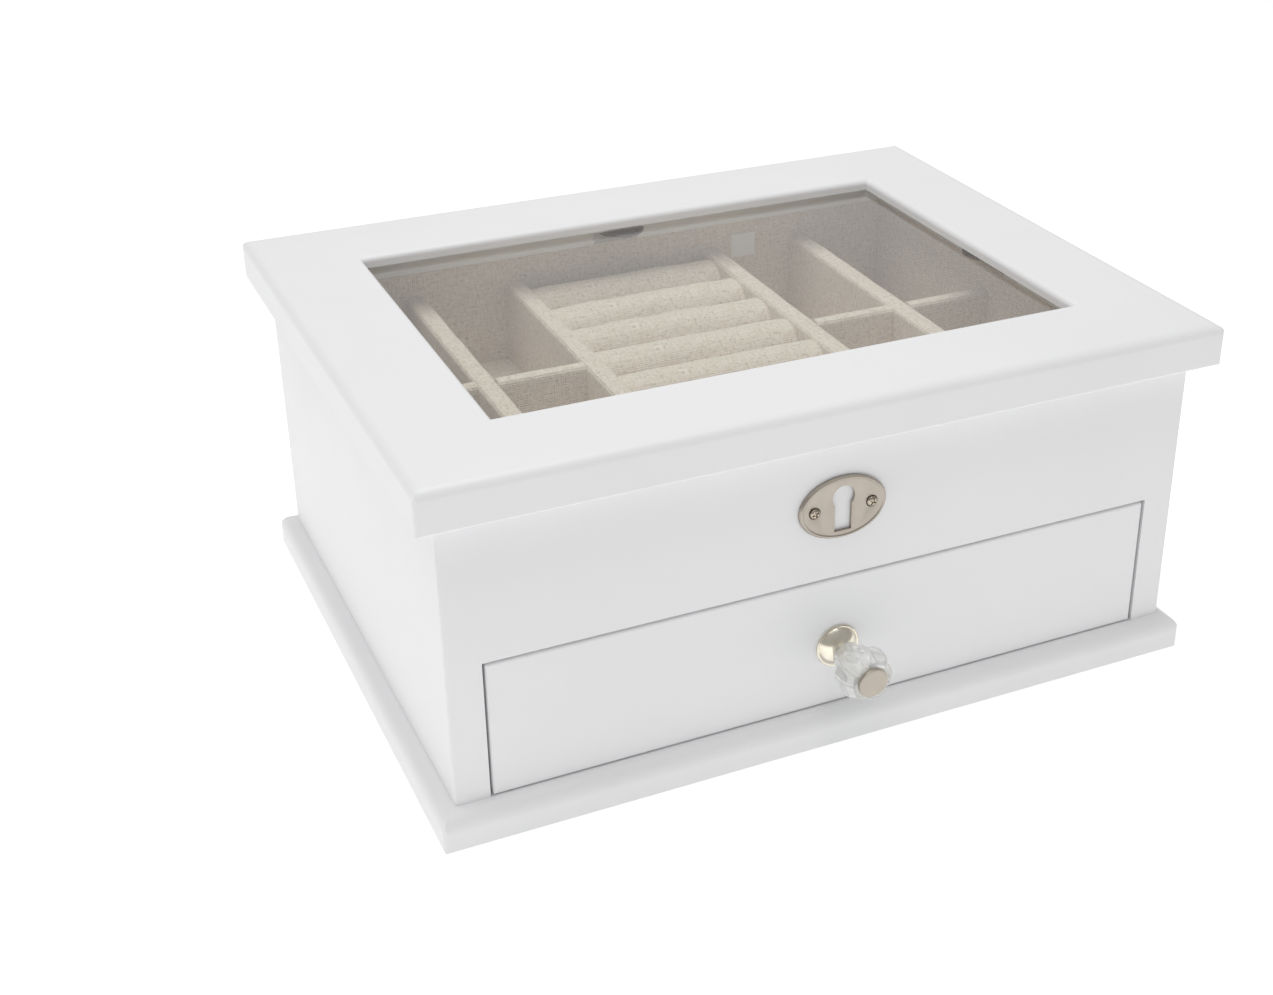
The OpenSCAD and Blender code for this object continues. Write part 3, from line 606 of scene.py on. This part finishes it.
def keyhole_plate(surface):
    """An oval plate with a raised rim round a slightly sunk face, pierced by a keyhole."""
    low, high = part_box("keyhole_plate")
    middle = (low + high) / 2
    size = high - low
    plate = primitive(bpy.ops.mesh.primitive_circle_add, "keyhole_oval", vertices=112, radius=0.5,
                      fill_type="NGON", scale=(size.x, size.z, 1))
    with editing(plate) as shape:
        bpy.ops.mesh.select_all(action="SELECT")
        bpy.ops.mesh.extrude_region_move(TRANSFORM_OT_translate={"value": (0, 0, PLATE_WALL * size.y)})
        bpy.ops.mesh.extrude_region_move(TRANSFORM_OT_translate={"value": (0, 0, PLATE_CROWN * size.y)})
        shrink = 1 - 2 * PLATE_CHAMFER / size.z
        bpy.ops.transform.resize(value=(shrink, shrink, 1), center_override=(0, 0, size.y))
        bpy.ops.mesh.inset(thickness=PLATE_LIP - PLATE_CHAMFER, depth=0)
        bpy.ops.mesh.inset(thickness=PLATE_SLOPE, depth=-PLATE_DISH)
    face_out(plate)
    top = size.z / 2 - KEY_TOP_DROP
    foot = -size.z / 2 + KEY_FOOT_RISE
    cut(plate, primitive(bpy.ops.mesh.primitive_cylinder_add, "key_head", vertices=64,
                         radius=KEY_HEAD_R, depth=4 * size.y, location=(0, top - KEY_HEAD_R, 0)))
    reach = Vector((KEY_SLOT_W / 2, 0, 2 * size.y))
    cut(plate, block("key_slot", Vector((-reach.x, foot, -reach.z)),
                     Vector((reach.x, top - KEY_HEAD_R, reach.z))))
    stud_low, stud_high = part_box("keyhole_screws")
    stud_r = (stud_high.z - stud_low.z) / 2
    for side in (-1, 1):
        cut(plate, primitive(bpy.ops.mesh.primitive_cylinder_add, "screw_seat", vertices=40,
                             radius=stud_r + SCREW_SEAT_GAP, depth=4 * size.y,
                             location=(side * (stud_high.x - stud_r), 0, 0)))
    eased(plate, PLATE_EASE)
    stood(plate, Vector((middle.x, high.y, middle.z)), FORWARD)
    finish_piece(plate, "chest", surface, "satin_nickel", "keyhole_plate")


def glass_clips(surface):
    """Four half-moon turn clips that hold the pane: a disc cut off behind its screw, with eased edges."""
    low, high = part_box("glass_clip_rear")
    thick = high.z - low.z
    heel = high.y - low.y - CLIP_R
    clip = turned("clip_start", [(0, CLIP_R), (thick, CLIP_R)], TURNED_SIDES)
    cut(clip, block("heel", Vector((-2 * CLIP_R, heel, -CLIP_R)), Vector((2 * CLIP_R, 4 * CLIP_R, CLIP_R))))
    cut(clip, primitive(bpy.ops.mesh.primitive_cylinder_add, "drill", vertices=32, radius=CLIP_HOLE_R,
                        depth=4 * thick))
    eased(clip, CLIP_EASE, 3)
    for side, (step_x, step_y, turn) in CLIP_TURNS.items():
        node_name = "glass_clip_" + side
        low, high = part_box(node_name)
        inner = Vector((high.x if side == "left" else low.x, high.y if side == "front" else low.y, low.z))
        pivot = Vector((inner.x + step_x if step_x else (low.x + high.x) / 2,
                        inner.y + step_y if step_y else (low.y + high.y) / 2, low.z))
        own = copy_of(clip, "turn_clip_" + side,
                      Matrix.Translation(pivot) @ Matrix.Rotation(math.radians(turn), 4, "Z"))
        finish_piece(own, node_name.replace("glass_", ""), surface, "antique_bronze", node_name)
    bpy.data.objects.remove(clip)


# ---- knob ----

def knob_rose(surface):
    """The turned foot of the knob: a thin flange, a dome and a straight neck."""
    low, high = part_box("knob_rose")
    radius = (high.x - low.x) / 2
    dome_r = radius - ROSE_STEP
    ball = (dome_r ** 2 + ROSE_DOME_H ** 2) / (2 * ROSE_DOME_H)
    stations = [(0, radius - ROSE_EASE), (ROSE_EASE, radius), (ROSE_FLANGE_T - ROSE_EASE, radius),
                (ROSE_FLANGE_T, radius - ROSE_EASE), (ROSE_FLANGE_T, dome_r)]
    for step in range(1, ROSE_STEPS + 1):
        across = dome_r + (ROSE_NECK_R - dome_r) * step / ROSE_STEPS
        rise = ROSE_FLANGE_T + ROSE_DOME_H - ball + math.sqrt(ball ** 2 - across ** 2)
        stations.append((rise, across))
    stations.append((high.y - low.y, ROSE_NECK_R))
    rose = turned("knob_foot", stations, TURNED_SIDES)
    smoothed(rose)
    stood(rose, Vector(((low.x + high.x) / 2, high.y, (low.z + high.z) / 2)), FORWARD)
    finish_piece(rose, "drawer", surface, "polished_nickel", "knob_rose")


def knob_crystal(surface):
    """The clear knob: it swells from the foot and draws in to the cap, with eight flutes cut round it."""
    low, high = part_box("knob_crystal")
    radius = (high.x - low.x) / 2
    length = high.y - low.y
    columns = LOBE_STEPS * FLUTES
    crystal = turned("knob_clear_body", [(rise * length, swell * radius) for rise, swell in CRYSTAL_PROFILE],
                     columns)
    with editing(crystal, "VERT") as shape:
        for column in range(1, LOBE_STEPS):
            keep = 1 - FLUTE_DEPTH * math.sin(math.pi * column / LOBE_STEPS) ** 3
            choose(shape, shape.verts, lambda vertex: round(
                math.atan2(vertex.co.y, vertex.co.x) / math.tau * columns) % LOBE_STEPS == column
                and FLUTE_FROM * length < vertex.co.z < FLUTE_TO * length)
            bpy.ops.transform.resize(value=(keep, keep, 1), center_override=(0, 0, 0))
    cut(crystal, primitive(bpy.ops.mesh.primitive_cylinder_add, "bore", vertices=32,
                           radius=BOLT_R + BORE_PLAY, depth=3 * length, location=(0, 0, length / 2)))
    smoothed(crystal, CRYSTAL_ANGLE)
    stood(crystal, Vector(((low.x + high.x) / 2, high.y, (low.z + high.z) / 2)), FORWARD)
    finish_piece(crystal, "drawer", surface, "clear_acrylic", "knob_crystal")


def knob_metal(shank_surface, cap_surface, nut_surface):
    """The bolt through the knob, the flat cap on its end, and the chamfered nut inside the drawer."""
    low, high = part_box("knob_bolt")
    cap_r = (high.x - low.x) / 2
    length = high.y - low.y
    tail = Vector((0, high.y, (low.z + high.z) / 2))
    shank = turned("knob_bolt_shank", [(0, BOLT_R - BOLT_TIP), (BOLT_TIP, BOLT_R),
                                       (length - CAP_T, BOLT_R)], BOLT_SIDES)
    smoothed(shank)
    stood(shank, tail, FORWARD)
    finish_piece(shank, "drawer", shank_surface, "satin_nickel", "knob_bolt")
    cap = turned("knob_bolt_cap", [(length - below * MM, cap_r - inside * MM)
                                   for below, inside in CAP_PROFILE], BOLT_SIDES)
    smoothed(cap)
    stood(cap, tail, FORWARD)
    finish_piece(cap, "drawer", cap_surface, "satin_nickel", "knob_bolt")
    low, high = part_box("knob_nut")
    corner = (high.x - low.x) / 2
    length = high.y - low.y
    chamfer = NUT_CHAMFER_L * length
    nut = turned("knob_nut_hex", [(0, NUT_CHAMFER_R * corner), (chamfer, corner), (length - chamfer, corner),
                                  (length, NUT_CHAMFER_R * corner)], NUT_SIDES)
    eased(nut, NUT_EASE)
    stood(nut, Vector((0, high.y, (low.z + high.z) / 2)), FORWARD)
    finish_piece(nut, "drawer", nut_surface, "bright_steel", "knob_nut")


# ---- materials ----

def linear(code):
    """An sRGB hex colour as linear RGBA."""
    channels = [int(code[start:start + 2], 16) / 255 for start in (1, 3, 5)]
    return [c / 12.92 if c <= 0.04045 else ((c + 0.055) / 1.055) ** 2.4 for c in channels] + [1.0]


def per_mm(size):
    """The texture scale whose features are about that many millimetres."""
    return 1 / (size * MM)


def thread_scale(pitch):
    """The Wave texture scale with one band every so many millimetres."""
    return math.tau / (20 * pitch * MM)


def node(tree, kind, inputs=(), **settings):
    """Adds one node with its settings. An input is a value or another node's output."""
    made = tree.nodes.new("ShaderNode" + kind)
    for name, value in settings.items():
        setattr(made, name, value)
    for name, value in dict(inputs).items():
        if isinstance(value, bpy.types.NodeSocket):
            tree.links.new(value, made.inputs[name])
        else:
            made.inputs[name].default_value = value
    return made


def surface_of(name):
    """A material with an empty tree, and that tree."""
    surface = bpy.data.materials.new(name)
    surface.use_nodes = True
    surface.node_tree.nodes.clear()
    return surface, surface.node_tree


def mixed(tree, share, first, second):
    """The colour between two others, in a Mix node's own socket order."""
    blend = node(tree, "Mix", {MIX_SHARE: share, MIX_FIRST: first, MIX_SECOND: second}, data_type="RGBA")
    return blend.outputs[MIX_RESULT]


def show(tree, shader):
    node(tree, "OutputMaterial", {"Surface": shader.outputs[0]})


def white_lacquer():
    """Satin white lacquer sprayed on fibreboard: warm white, half gloss, with a faint orange peel."""
    surface, tree = surface_of("satin_white_lacquer")
    place = node(tree, "TexCoord").outputs["Object"]
    drift = node(tree, "TexNoise", {"Vector": place, "Scale": per_mm(60), "Detail": 3.0})
    peel = node(tree, "TexNoise", {"Vector": place, "Scale": per_mm(1.6), "Detail": 2.0})
    dust = node(tree, "TexNoise", {"Vector": place, "Scale": per_mm(0.5), "Detail": 1.0})
    colour = mixed(tree, drift.outputs["Fac"], linear("#F2F2F3"), linear("#EDEDEE"))
    rough = node(tree, "MapRange", {
        "Value": peel.outputs["Fac"], FROM_LOW: 0.3, FROM_HIGH: 0.7, TO_LOW: 0.36, TO_HIGH: 0.46})
    skin = node(tree, "Math", {0: dust.outputs["Fac"], 1: 0.25, 2: peel.outputs["Fac"]},
                operation="MULTIPLY_ADD")
    bump = node(tree, "Bump", {"Height": skin.outputs[0], "Strength": 0.25, "Distance": 0.03 * MM})
    shader = node(tree, "BsdfPrincipled", {
        "Base Color": colour, "Roughness": rough.outputs[0], "Normal": bump.outputs[0],
        "IOR": 1.5,
    })
    show(tree, shader)
    return surface


def linen():
    """Woven linen-look cloth in oatmeal: matt, with uneven threads, darker flecks and a soft sheen."""
    surface, tree = surface_of("oatmeal_linen")
    place = node(tree, "UVMap", uv_map="cloth").outputs[0]
    warp = node(tree, "TexWave", {"Vector": place, "Scale": thread_scale(0.9), "Distortion": 1.6,
                                  "Detail": 2.0, "Detail Scale": 0.6}, bands_direction="X")
    weft = node(tree, "TexWave", {"Vector": place, "Scale": thread_scale(0.9), "Distortion": 1.6,
                                  "Detail": 2.0, "Detail Scale": 0.6}, bands_direction="Y")
    weave = node(tree, "Math", {0: warp.outputs["Fac"], 1: weft.outputs["Fac"]}, operation="ADD")
    # Slubs: threads are thicker and thinner along their length, so tones run in short streaks.
    upright = node(tree, "Mapping", {"Vector": place, "Scale": (per_mm(0.9), per_mm(7), 1)})
    level = node(tree, "Mapping", {"Vector": place, "Scale": (per_mm(6), per_mm(0.9), 1)})
    slub_up = node(tree, "TexNoise", {"Vector": upright.outputs[0], "Scale": 1.0, "Detail": 2.0})
    slub_level = node(tree, "TexNoise", {"Vector": level.outputs[0], "Scale": 1.0, "Detail": 2.0})
    slubs = node(tree, "Math", {0: slub_up.outputs["Fac"], 1: slub_level.outputs["Fac"]}, operation="ADD")
    streak = node(tree, "MapRange", {
        "Value": slubs.outputs[0], FROM_LOW: 0.8, FROM_HIGH: 1.2, TO_LOW: 0.0, TO_HIGH: 1.0})
    fleck = node(tree, "TexNoise", {"Vector": place, "Scale": per_mm(1.5), "Detail": 3.0, "Roughness": 0.6})
    dark = node(tree, "MapRange", {
        "Value": fleck.outputs["Fac"], FROM_LOW: 0.55, FROM_HIGH: 0.7, TO_LOW: 0.0, TO_HIGH: 0.6})
    light = node(tree, "MapRange", {
        "Value": fleck.outputs["Fac"], FROM_LOW: 0.44, FROM_HIGH: 0.3, TO_LOW: 0.0, TO_HIGH: 0.6})
    ground = mixed(tree, streak.outputs[0], linear("#E1D1BF"), linear("#EFE2D6"))
    paler = mixed(tree, light.outputs[0], ground, linear("#F9F1E6"))
    colour = mixed(tree, dark.outputs[0], paler, linear("#A08E78"))
    relief = node(tree, "Math", {0: slubs.outputs[0], 1: 0.8, 2: weave.outputs[0]}, operation="MULTIPLY_ADD")
    bump = node(tree, "Bump", {"Height": relief.outputs[0], "Strength": 0.55, "Distance": 0.22 * MM})
    rough = node(tree, "MapRange", {
        "Value": weave.outputs[0], FROM_LOW: 0.0, FROM_HIGH: 2.0, TO_LOW: 0.97, TO_HIGH: 0.86})
    shader = node(tree, "BsdfPrincipled", {
        "Base Color": colour, "Roughness": rough.outputs[0], "Normal": bump.outputs[0],
        "Specular IOR Level": 0.25, "Sheen Weight": 0.22, "Sheen Roughness": 0.6,
        "Sheen Tint": linear("#EFE8DA"),
    })
    show(tree, shader)
    return surface


def woven_tape():
    """White woven tape for the blank tag: a fine rib across, matt, a little uneven in tone."""
    surface, tree = surface_of("white_woven_tape")
    place = node(tree, "UVMap", uv_map="cloth").outputs[0]
    rib = node(tree, "TexWave", {"Vector": place, "Scale": thread_scale(0.55), "Distortion": 0.6},
               bands_direction="Y")
    tone = node(tree, "TexNoise", {"Vector": place, "Scale": per_mm(1.1), "Detail": 2.0})
    colour = mixed(tree, tone.outputs["Fac"], linear("#FDFDFC"), linear("#F1F2F1"))
    rough = node(tree, "MapRange", {
        "Value": rib.outputs["Fac"], FROM_LOW: 0.0, FROM_HIGH: 1.0, TO_LOW: 0.85, TO_HIGH: 0.7})
    bump = node(tree, "Bump", {"Height": rib.outputs["Fac"], "Strength": 0.4, "Distance": 0.08 * MM})
    shader = node(tree, "BsdfPrincipled", {
        "Base Color": colour, "Roughness": rough.outputs[0], "Normal": bump.outputs[0],
        "Sheen Weight": 0.15,
    })
    show(tree, shader)
    return surface


def plywood(name, stretch):
    """Clear-sealed light plywood: long grain along the board, with darker pores and a low gloss."""
    surface, tree = surface_of(name)
    place = node(tree, "TexCoord").outputs["Object"]
    along = node(tree, "Mapping", {"Vector": place, "Scale": [per_mm(size) for size in stretch]})
    grain = node(tree, "TexNoise", {"Vector": along.outputs[0], "Scale": 1.0, "Detail": 4.0,
                                    "Distortion": 0.6})
    pore = node(tree, "TexNoise", {"Vector": along.outputs[0], "Scale": 6.0, "Detail": 2.0})
    bands = mixed(tree, grain.outputs["Fac"], linear("#EAD9BD"), linear("#CDB48E"))
    dark = node(tree, "MapRange", {
        "Value": pore.outputs["Fac"], FROM_LOW: 0.6, FROM_HIGH: 0.72, TO_LOW: 0.0, TO_HIGH: 0.5})
    colour = mixed(tree, dark.outputs[0], bands, linear("#A88A63"))
    rough = node(tree, "MapRange", {
        "Value": grain.outputs["Fac"], FROM_LOW: 0.3, FROM_HIGH: 0.7, TO_LOW: 0.48, TO_HIGH: 0.62})
    bump = node(tree, "Bump", {"Height": pore.outputs["Fac"], "Strength": 0.3, "Distance": 0.05 * MM})
    shader = node(tree, "BsdfPrincipled", {
        "Base Color": colour, "Roughness": rough.outputs[0], "Normal": bump.outputs[0], "IOR": 1.5,
    })
    show(tree, shader)
    return surface


def fibreboard():
    """Bare fibreboard: even brown felted fibres with a dry, matt face."""
    surface, tree = surface_of("bare_fibreboard")
    place = node(tree, "TexCoord").outputs["Object"]
    fibre = node(tree, "TexNoise", {"Vector": place, "Scale": per_mm(0.9), "Detail": 3.0})
    patch = node(tree, "TexNoise", {"Vector": place, "Scale": per_mm(25), "Detail": 2.0})
    ground = mixed(tree, fibre.outputs["Fac"], linear("#A98B64"), linear("#C7AC86"))
    colour = mixed(tree, patch.outputs["Fac"], ground, linear("#B39670"))
    rough = node(tree, "MapRange", {
        "Value": fibre.outputs["Fac"], FROM_LOW: 0.3, FROM_HIGH: 0.7, TO_LOW: 0.82, TO_HIGH: 0.94})
    bump = node(tree, "Bump", {"Height": fibre.outputs["Fac"], "Strength": 0.35, "Distance": 0.06 * MM})
    shader = node(tree, "BsdfPrincipled", {
        "Base Color": colour, "Roughness": rough.outputs[0], "Normal": bump.outputs[0],
    })
    show(tree, shader)
    return surface


def plated(name, light, deep, rough_low, rough_high, grit, relief):
    """Plated metal: a tone that drifts a little, a roughness that follows its polish marks, fine relief."""
    surface, tree = surface_of(name)
    place = node(tree, "TexCoord").outputs["Object"]
    drift = node(tree, "TexNoise", {"Vector": place, "Scale": per_mm(6), "Detail": 2.0})
    marks = node(tree, "TexNoise", {"Vector": place, "Scale": per_mm(grit), "Detail": 3.0})
    colour = mixed(tree, drift.outputs["Fac"], linear(light), linear(deep))
    rough = node(tree, "MapRange", {
        "Value": marks.outputs["Fac"], FROM_LOW: 0.3, FROM_HIGH: 0.7, TO_LOW: rough_low, TO_HIGH: rough_high})
    bump = node(tree, "Bump", {"Height": marks.outputs["Fac"], "Strength": 0.3, "Distance": relief * MM})
    shader = node(tree, "BsdfPrincipled", {
        "Base Color": colour, "Metallic": 1.0, "Roughness": rough.outputs[0], "Normal": bump.outputs[0],
    })
    show(tree, shader)
    return surface


def lets_lamps_through(tree, glass, tint):
    """Glass that rays from lamps and rays scattered by what lies behind pass straight, so it stays lit."""
    path = node(tree, "LightPath")
    passes = node(tree, "Math", {0: path.outputs["Is Shadow Ray"], 1: path.outputs["Is Diffuse Ray"]},
                  operation="MAXIMUM")
    clear = node(tree, "BsdfTransparent", {"Color": linear(tint)})
    return node(tree, "MixShader", {0: passes.outputs[0], 1: glass.outputs[0], 2: clear.outputs[0]})


def float_glass():
    """Clear float glass in a thin pane: seen straight through, with a faint haze and a mirror gloss that
    grows at a low angle. Only the face towards the eye or lamp is glossy, for both faces at once."""
    surface, tree = surface_of("clear_float_glass")
    place = node(tree, "TexCoord").outputs["Object"]
    film = node(tree, "TexNoise", {"Vector": place, "Scale": per_mm(45), "Detail": 3.0})
    rough = node(tree, "MapRange", {
        "Value": film.outputs["Fac"], FROM_LOW: 0.35, FROM_HIGH: 0.65, TO_LOW: 0.01, TO_HIGH: 0.05})
    tint = mixed(tree, film.outputs["Fac"], linear("#FDFEFD"), linear("#FAFCFB"))
    clear = node(tree, "BsdfTransparent", {"Color": tint})
    gloss = node(tree, "BsdfAnisotropic", {"Color": linear("#FFFFFF"), "Roughness": rough.outputs[0]})
    grazing = node(tree, "Fresnel", {"IOR": 1.52})
    both_faces = node(tree, "Math", {0: grazing.outputs[0], 1: PANE_FACES}, operation="MULTIPLY")
    behind = node(tree, "NewGeometry").outputs["Backfacing"]
    front = node(tree, "Math", {0: 1.0, 1: behind}, operation="SUBTRACT")
    share = node(tree, "Math", {0: both_faces.outputs[0], 1: front.outputs[0]}, operation="MULTIPLY")
    show(tree, node(tree, "MixShader", {0: share.outputs[0], 1: clear.outputs[0], 2: gloss.outputs[0]}))
    return surface


def moulded_acrylic():
    """Clear moulded acrylic for the knob: bright, with a faint flow in its surface."""
    surface, tree = surface_of("clear_moulded_acrylic")
    place = node(tree, "TexCoord").outputs["Object"]
    flow = node(tree, "TexNoise", {"Vector": place, "Scale": per_mm(3), "Detail": 2.0, "Distortion": 0.8})
    rough = node(tree, "MapRange", {
        "Value": flow.outputs["Fac"], FROM_LOW: 0.3, FROM_HIGH: 0.7, TO_LOW: 0.06, TO_HIGH: 0.1})
    bump = node(tree, "Bump", {"Height": flow.outputs["Fac"], "Strength": 0.12, "Distance": 0.2 * MM})
    colour = mixed(tree, flow.outputs["Fac"], linear("#FFFFFF"), linear("#F7FAF8"))
    glass = node(tree, "BsdfPrincipled", {
        "Base Color": colour, "Roughness": rough.outputs[0], "Normal": bump.outputs[0],
        "IOR": 1.49, "Transmission Weight": 1.0,
    })
    milk = node(tree, "BsdfDiffuse", {"Color": linear("#F8F5F5"), "Normal": bump.outputs[0]})
    straight = node(tree, "BsdfTransparent", {"Color": linear("#F6F7F5")})
    haze = node(tree, "MixShader", {0: HAZE_CLEAR, 1: milk.outputs[0], 2: straight.outputs[0]})
    pale = node(tree, "MixShader", {0: CRYSTAL_PALE, 1: glass.outputs[0], 2: haze.outputs[0]})
    show(tree, lets_lamps_through(tree, pale, "#F4F7F6"))
    return surface


def paper_floor():
    """White studio paper: matt and very even, with a little light of its own."""
    surface, tree = surface_of("white_studio_paper")
    place = node(tree, "TexCoord").outputs["Object"]
    fibre = node(tree, "TexNoise", {"Vector": place, "Scale": per_mm(4), "Detail": 2.0})
    colour = mixed(tree, fibre.outputs["Fac"], linear("#FFFFFF"), linear("#FDFDFD"))
    shader = node(tree, "BsdfPrincipled", {
        "Base Color": colour, "Roughness": 0.95, "Specular IOR Level": 0.1,
        "Emission Color": linear("#FFFFFF"), "Emission Strength": FLOOR_GLOW,
    })
    show(tree, shader)
    return surface


# ---- the kept boards, glass and leaves ----

def dress_nodes(surfaces):
    """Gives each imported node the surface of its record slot, and its drawer boards their own grain."""
    slots = {entry["slot"]: surfaces[entry["slot"]] for entry in frame["record"]["materials"]
             if entry["slot"] in surfaces}
    own = {"drawer_back": surfaces["drawer_back_wood"]}
    for name, packed in frame["nodes"].items():
        slot_name = packed.data.materials[0].name.split(".")[0]
        packed.data.materials.clear()
        packed.data.materials.append(own.get(name, slots[slot_name]))


# ---- studio ----

def studio_floor():
    floor = primitive(bpy.ops.mesh.primitive_plane_add, "studio_floor", size=FLOOR_SIZE, location=(0, 0, 0))
    floor.data.materials.append(paper_floor())


def studio_light():
    """An even white room with one broad softbox above, and a brighter part low behind the chest.

    The pane mirrors that part to the camera, which lays a pale veil over the tray."""
    world = bpy.data.worlds.new("white_room")
    world.use_nodes = True
    tree = world.node_tree
    ray = node(tree, "TexCoord").outputs["Generated"]
    glow = (Quaternion(UP, GLOW_TURN) @ Quaternion((1, 0, 0), GLOW_TILT)) @ -FORWARD
    facing = node(tree, "VectorMath", {0: ray, 1: glow}, operation="DOT_PRODUCT")
    strength = node(tree, "MapRange", {
        "Value": facing.outputs["Value"], FROM_LOW: GLOW_EDGE, FROM_HIGH: GLOW_CORE,
        TO_LOW: WORLD_LIGHT, TO_HIGH: WORLD_LIGHT + REAR_GLOW,
    }, interpolation_type="SMOOTHSTEP")
    tree.links.new(strength.outputs[0], tree.nodes["Background"].inputs["Strength"])
    tree.nodes["Background"].inputs["Color"].default_value = (1, 1, 1, 1)
    bpy.context.scene.world = world
    softbox("top_softbox", LAMP_PLACE, LAMP_TARGET, LAMP_SIZE, LAMP_POWER)


def softbox(name, place, target, size, power):
    lamp = bpy.data.lights.new(name, "AREA")
    lamp.shape = "SQUARE"
    lamp.size = size
    lamp.energy = power
    stand = bpy.data.objects.new(name, lamp)
    stand.location = place
    stand.rotation_mode = "QUATERNION"
    stand.rotation_quaternion = (Vector(target) - Vector(place)).to_track_quat("-Z", "Y")
    bpy.context.scene.collection.objects.link(stand)


def studio_camera():
    """The camera stands to the left of the front, above the lid, and looks down at the chest."""
    lens = bpy.data.cameras.new("camera")
    lens.sensor_width = SENSOR_WIDTH
    lens.lens = FOCAL_LENGTH
    lens.shift_x, lens.shift_y = LENS_SHIFT
    lens.clip_start = CLIP_NEAR
    lens.clip_end = CLIP_FAR
    camera = bpy.data.objects.new("camera", lens)
    camera.location = CAMERA_PLACE
    camera.rotation_mode = "QUATERNION"
    camera.rotation_quaternion = (
        Quaternion(UP, CAMERA_TURN)
        @ Quaternion((1, 0, 0), CAMERA_TILT)
        @ Quaternion(UP, CAMERA_ROLL))
    bpy.context.scene.collection.objects.link(camera)
    bpy.context.scene.camera = camera
    bpy.context.scene.view_settings.view_transform = "Standard"


# ---- the whole chest ----

cloth = linen()
satin_nickel = plated("satin_nickel", "#B5ADA2", "#A9A197", 0.3, 0.4, 0.7, 0.02)
polished_nickel = plated("polished_nickel", "#FDFAEE", "#D2C8B0", 0.16, 0.24, 1.5, 0.001)
# The plate screws are polished nickel like the rose. This darker, browner copy of it is painted dark
# reflection, not the metal's own colour.
screw_nickel_painted_dark = plated("dull_nickel_screws", "#CFC5B6", "#9C9082", 0.12, 0.26, 0.7, 0.01)
bright_steel = plated("zinc_plated_steel", "#D2D0CB", "#BFBDB8", 0.2, 0.34, 0.8, 0.02)
bronze = plated("antique_bronze", "#6E4F42", "#4A332A", 0.45, 0.62, 1.2, 0.04)
surfaces = {
    "white_paint": white_lacquer(),
    "drawer_wood": plywood("sealed_plywood_sides", (2.2, 45, 2.2)),
    "drawer_back_wood": plywood("sealed_plywood_back", (45, 2.2, 2.2)),
    "fibreboard": fibreboard(),
    "linen": cloth,
    "tag_cloth": woven_tape(),
    "satin_nickel": satin_nickel,
    "polished_nickel": polished_nickel,
    "bright_steel": bright_steel,
    "clear_acrylic": moulded_acrylic(),
    "clear_glass": float_glass(),
    "antique_bronze": bronze,
}
dress_nodes(surfaces)
tray_cloth(cloth)
ring_rolls(cloth)
drawer_cloth(cloth)
tag(surfaces["tag_cloth"])
screws(screw_nickel_painted_dark, bronze)
keyhole_plate(satin_nickel)
glass_clips(bronze)
knob_rose(polished_nickel)
knob_crystal(surfaces["clear_acrylic"])
knob_metal(polished_nickel, satin_nickel, bright_steel)
studio_floor()
studio_light()
studio_camera()
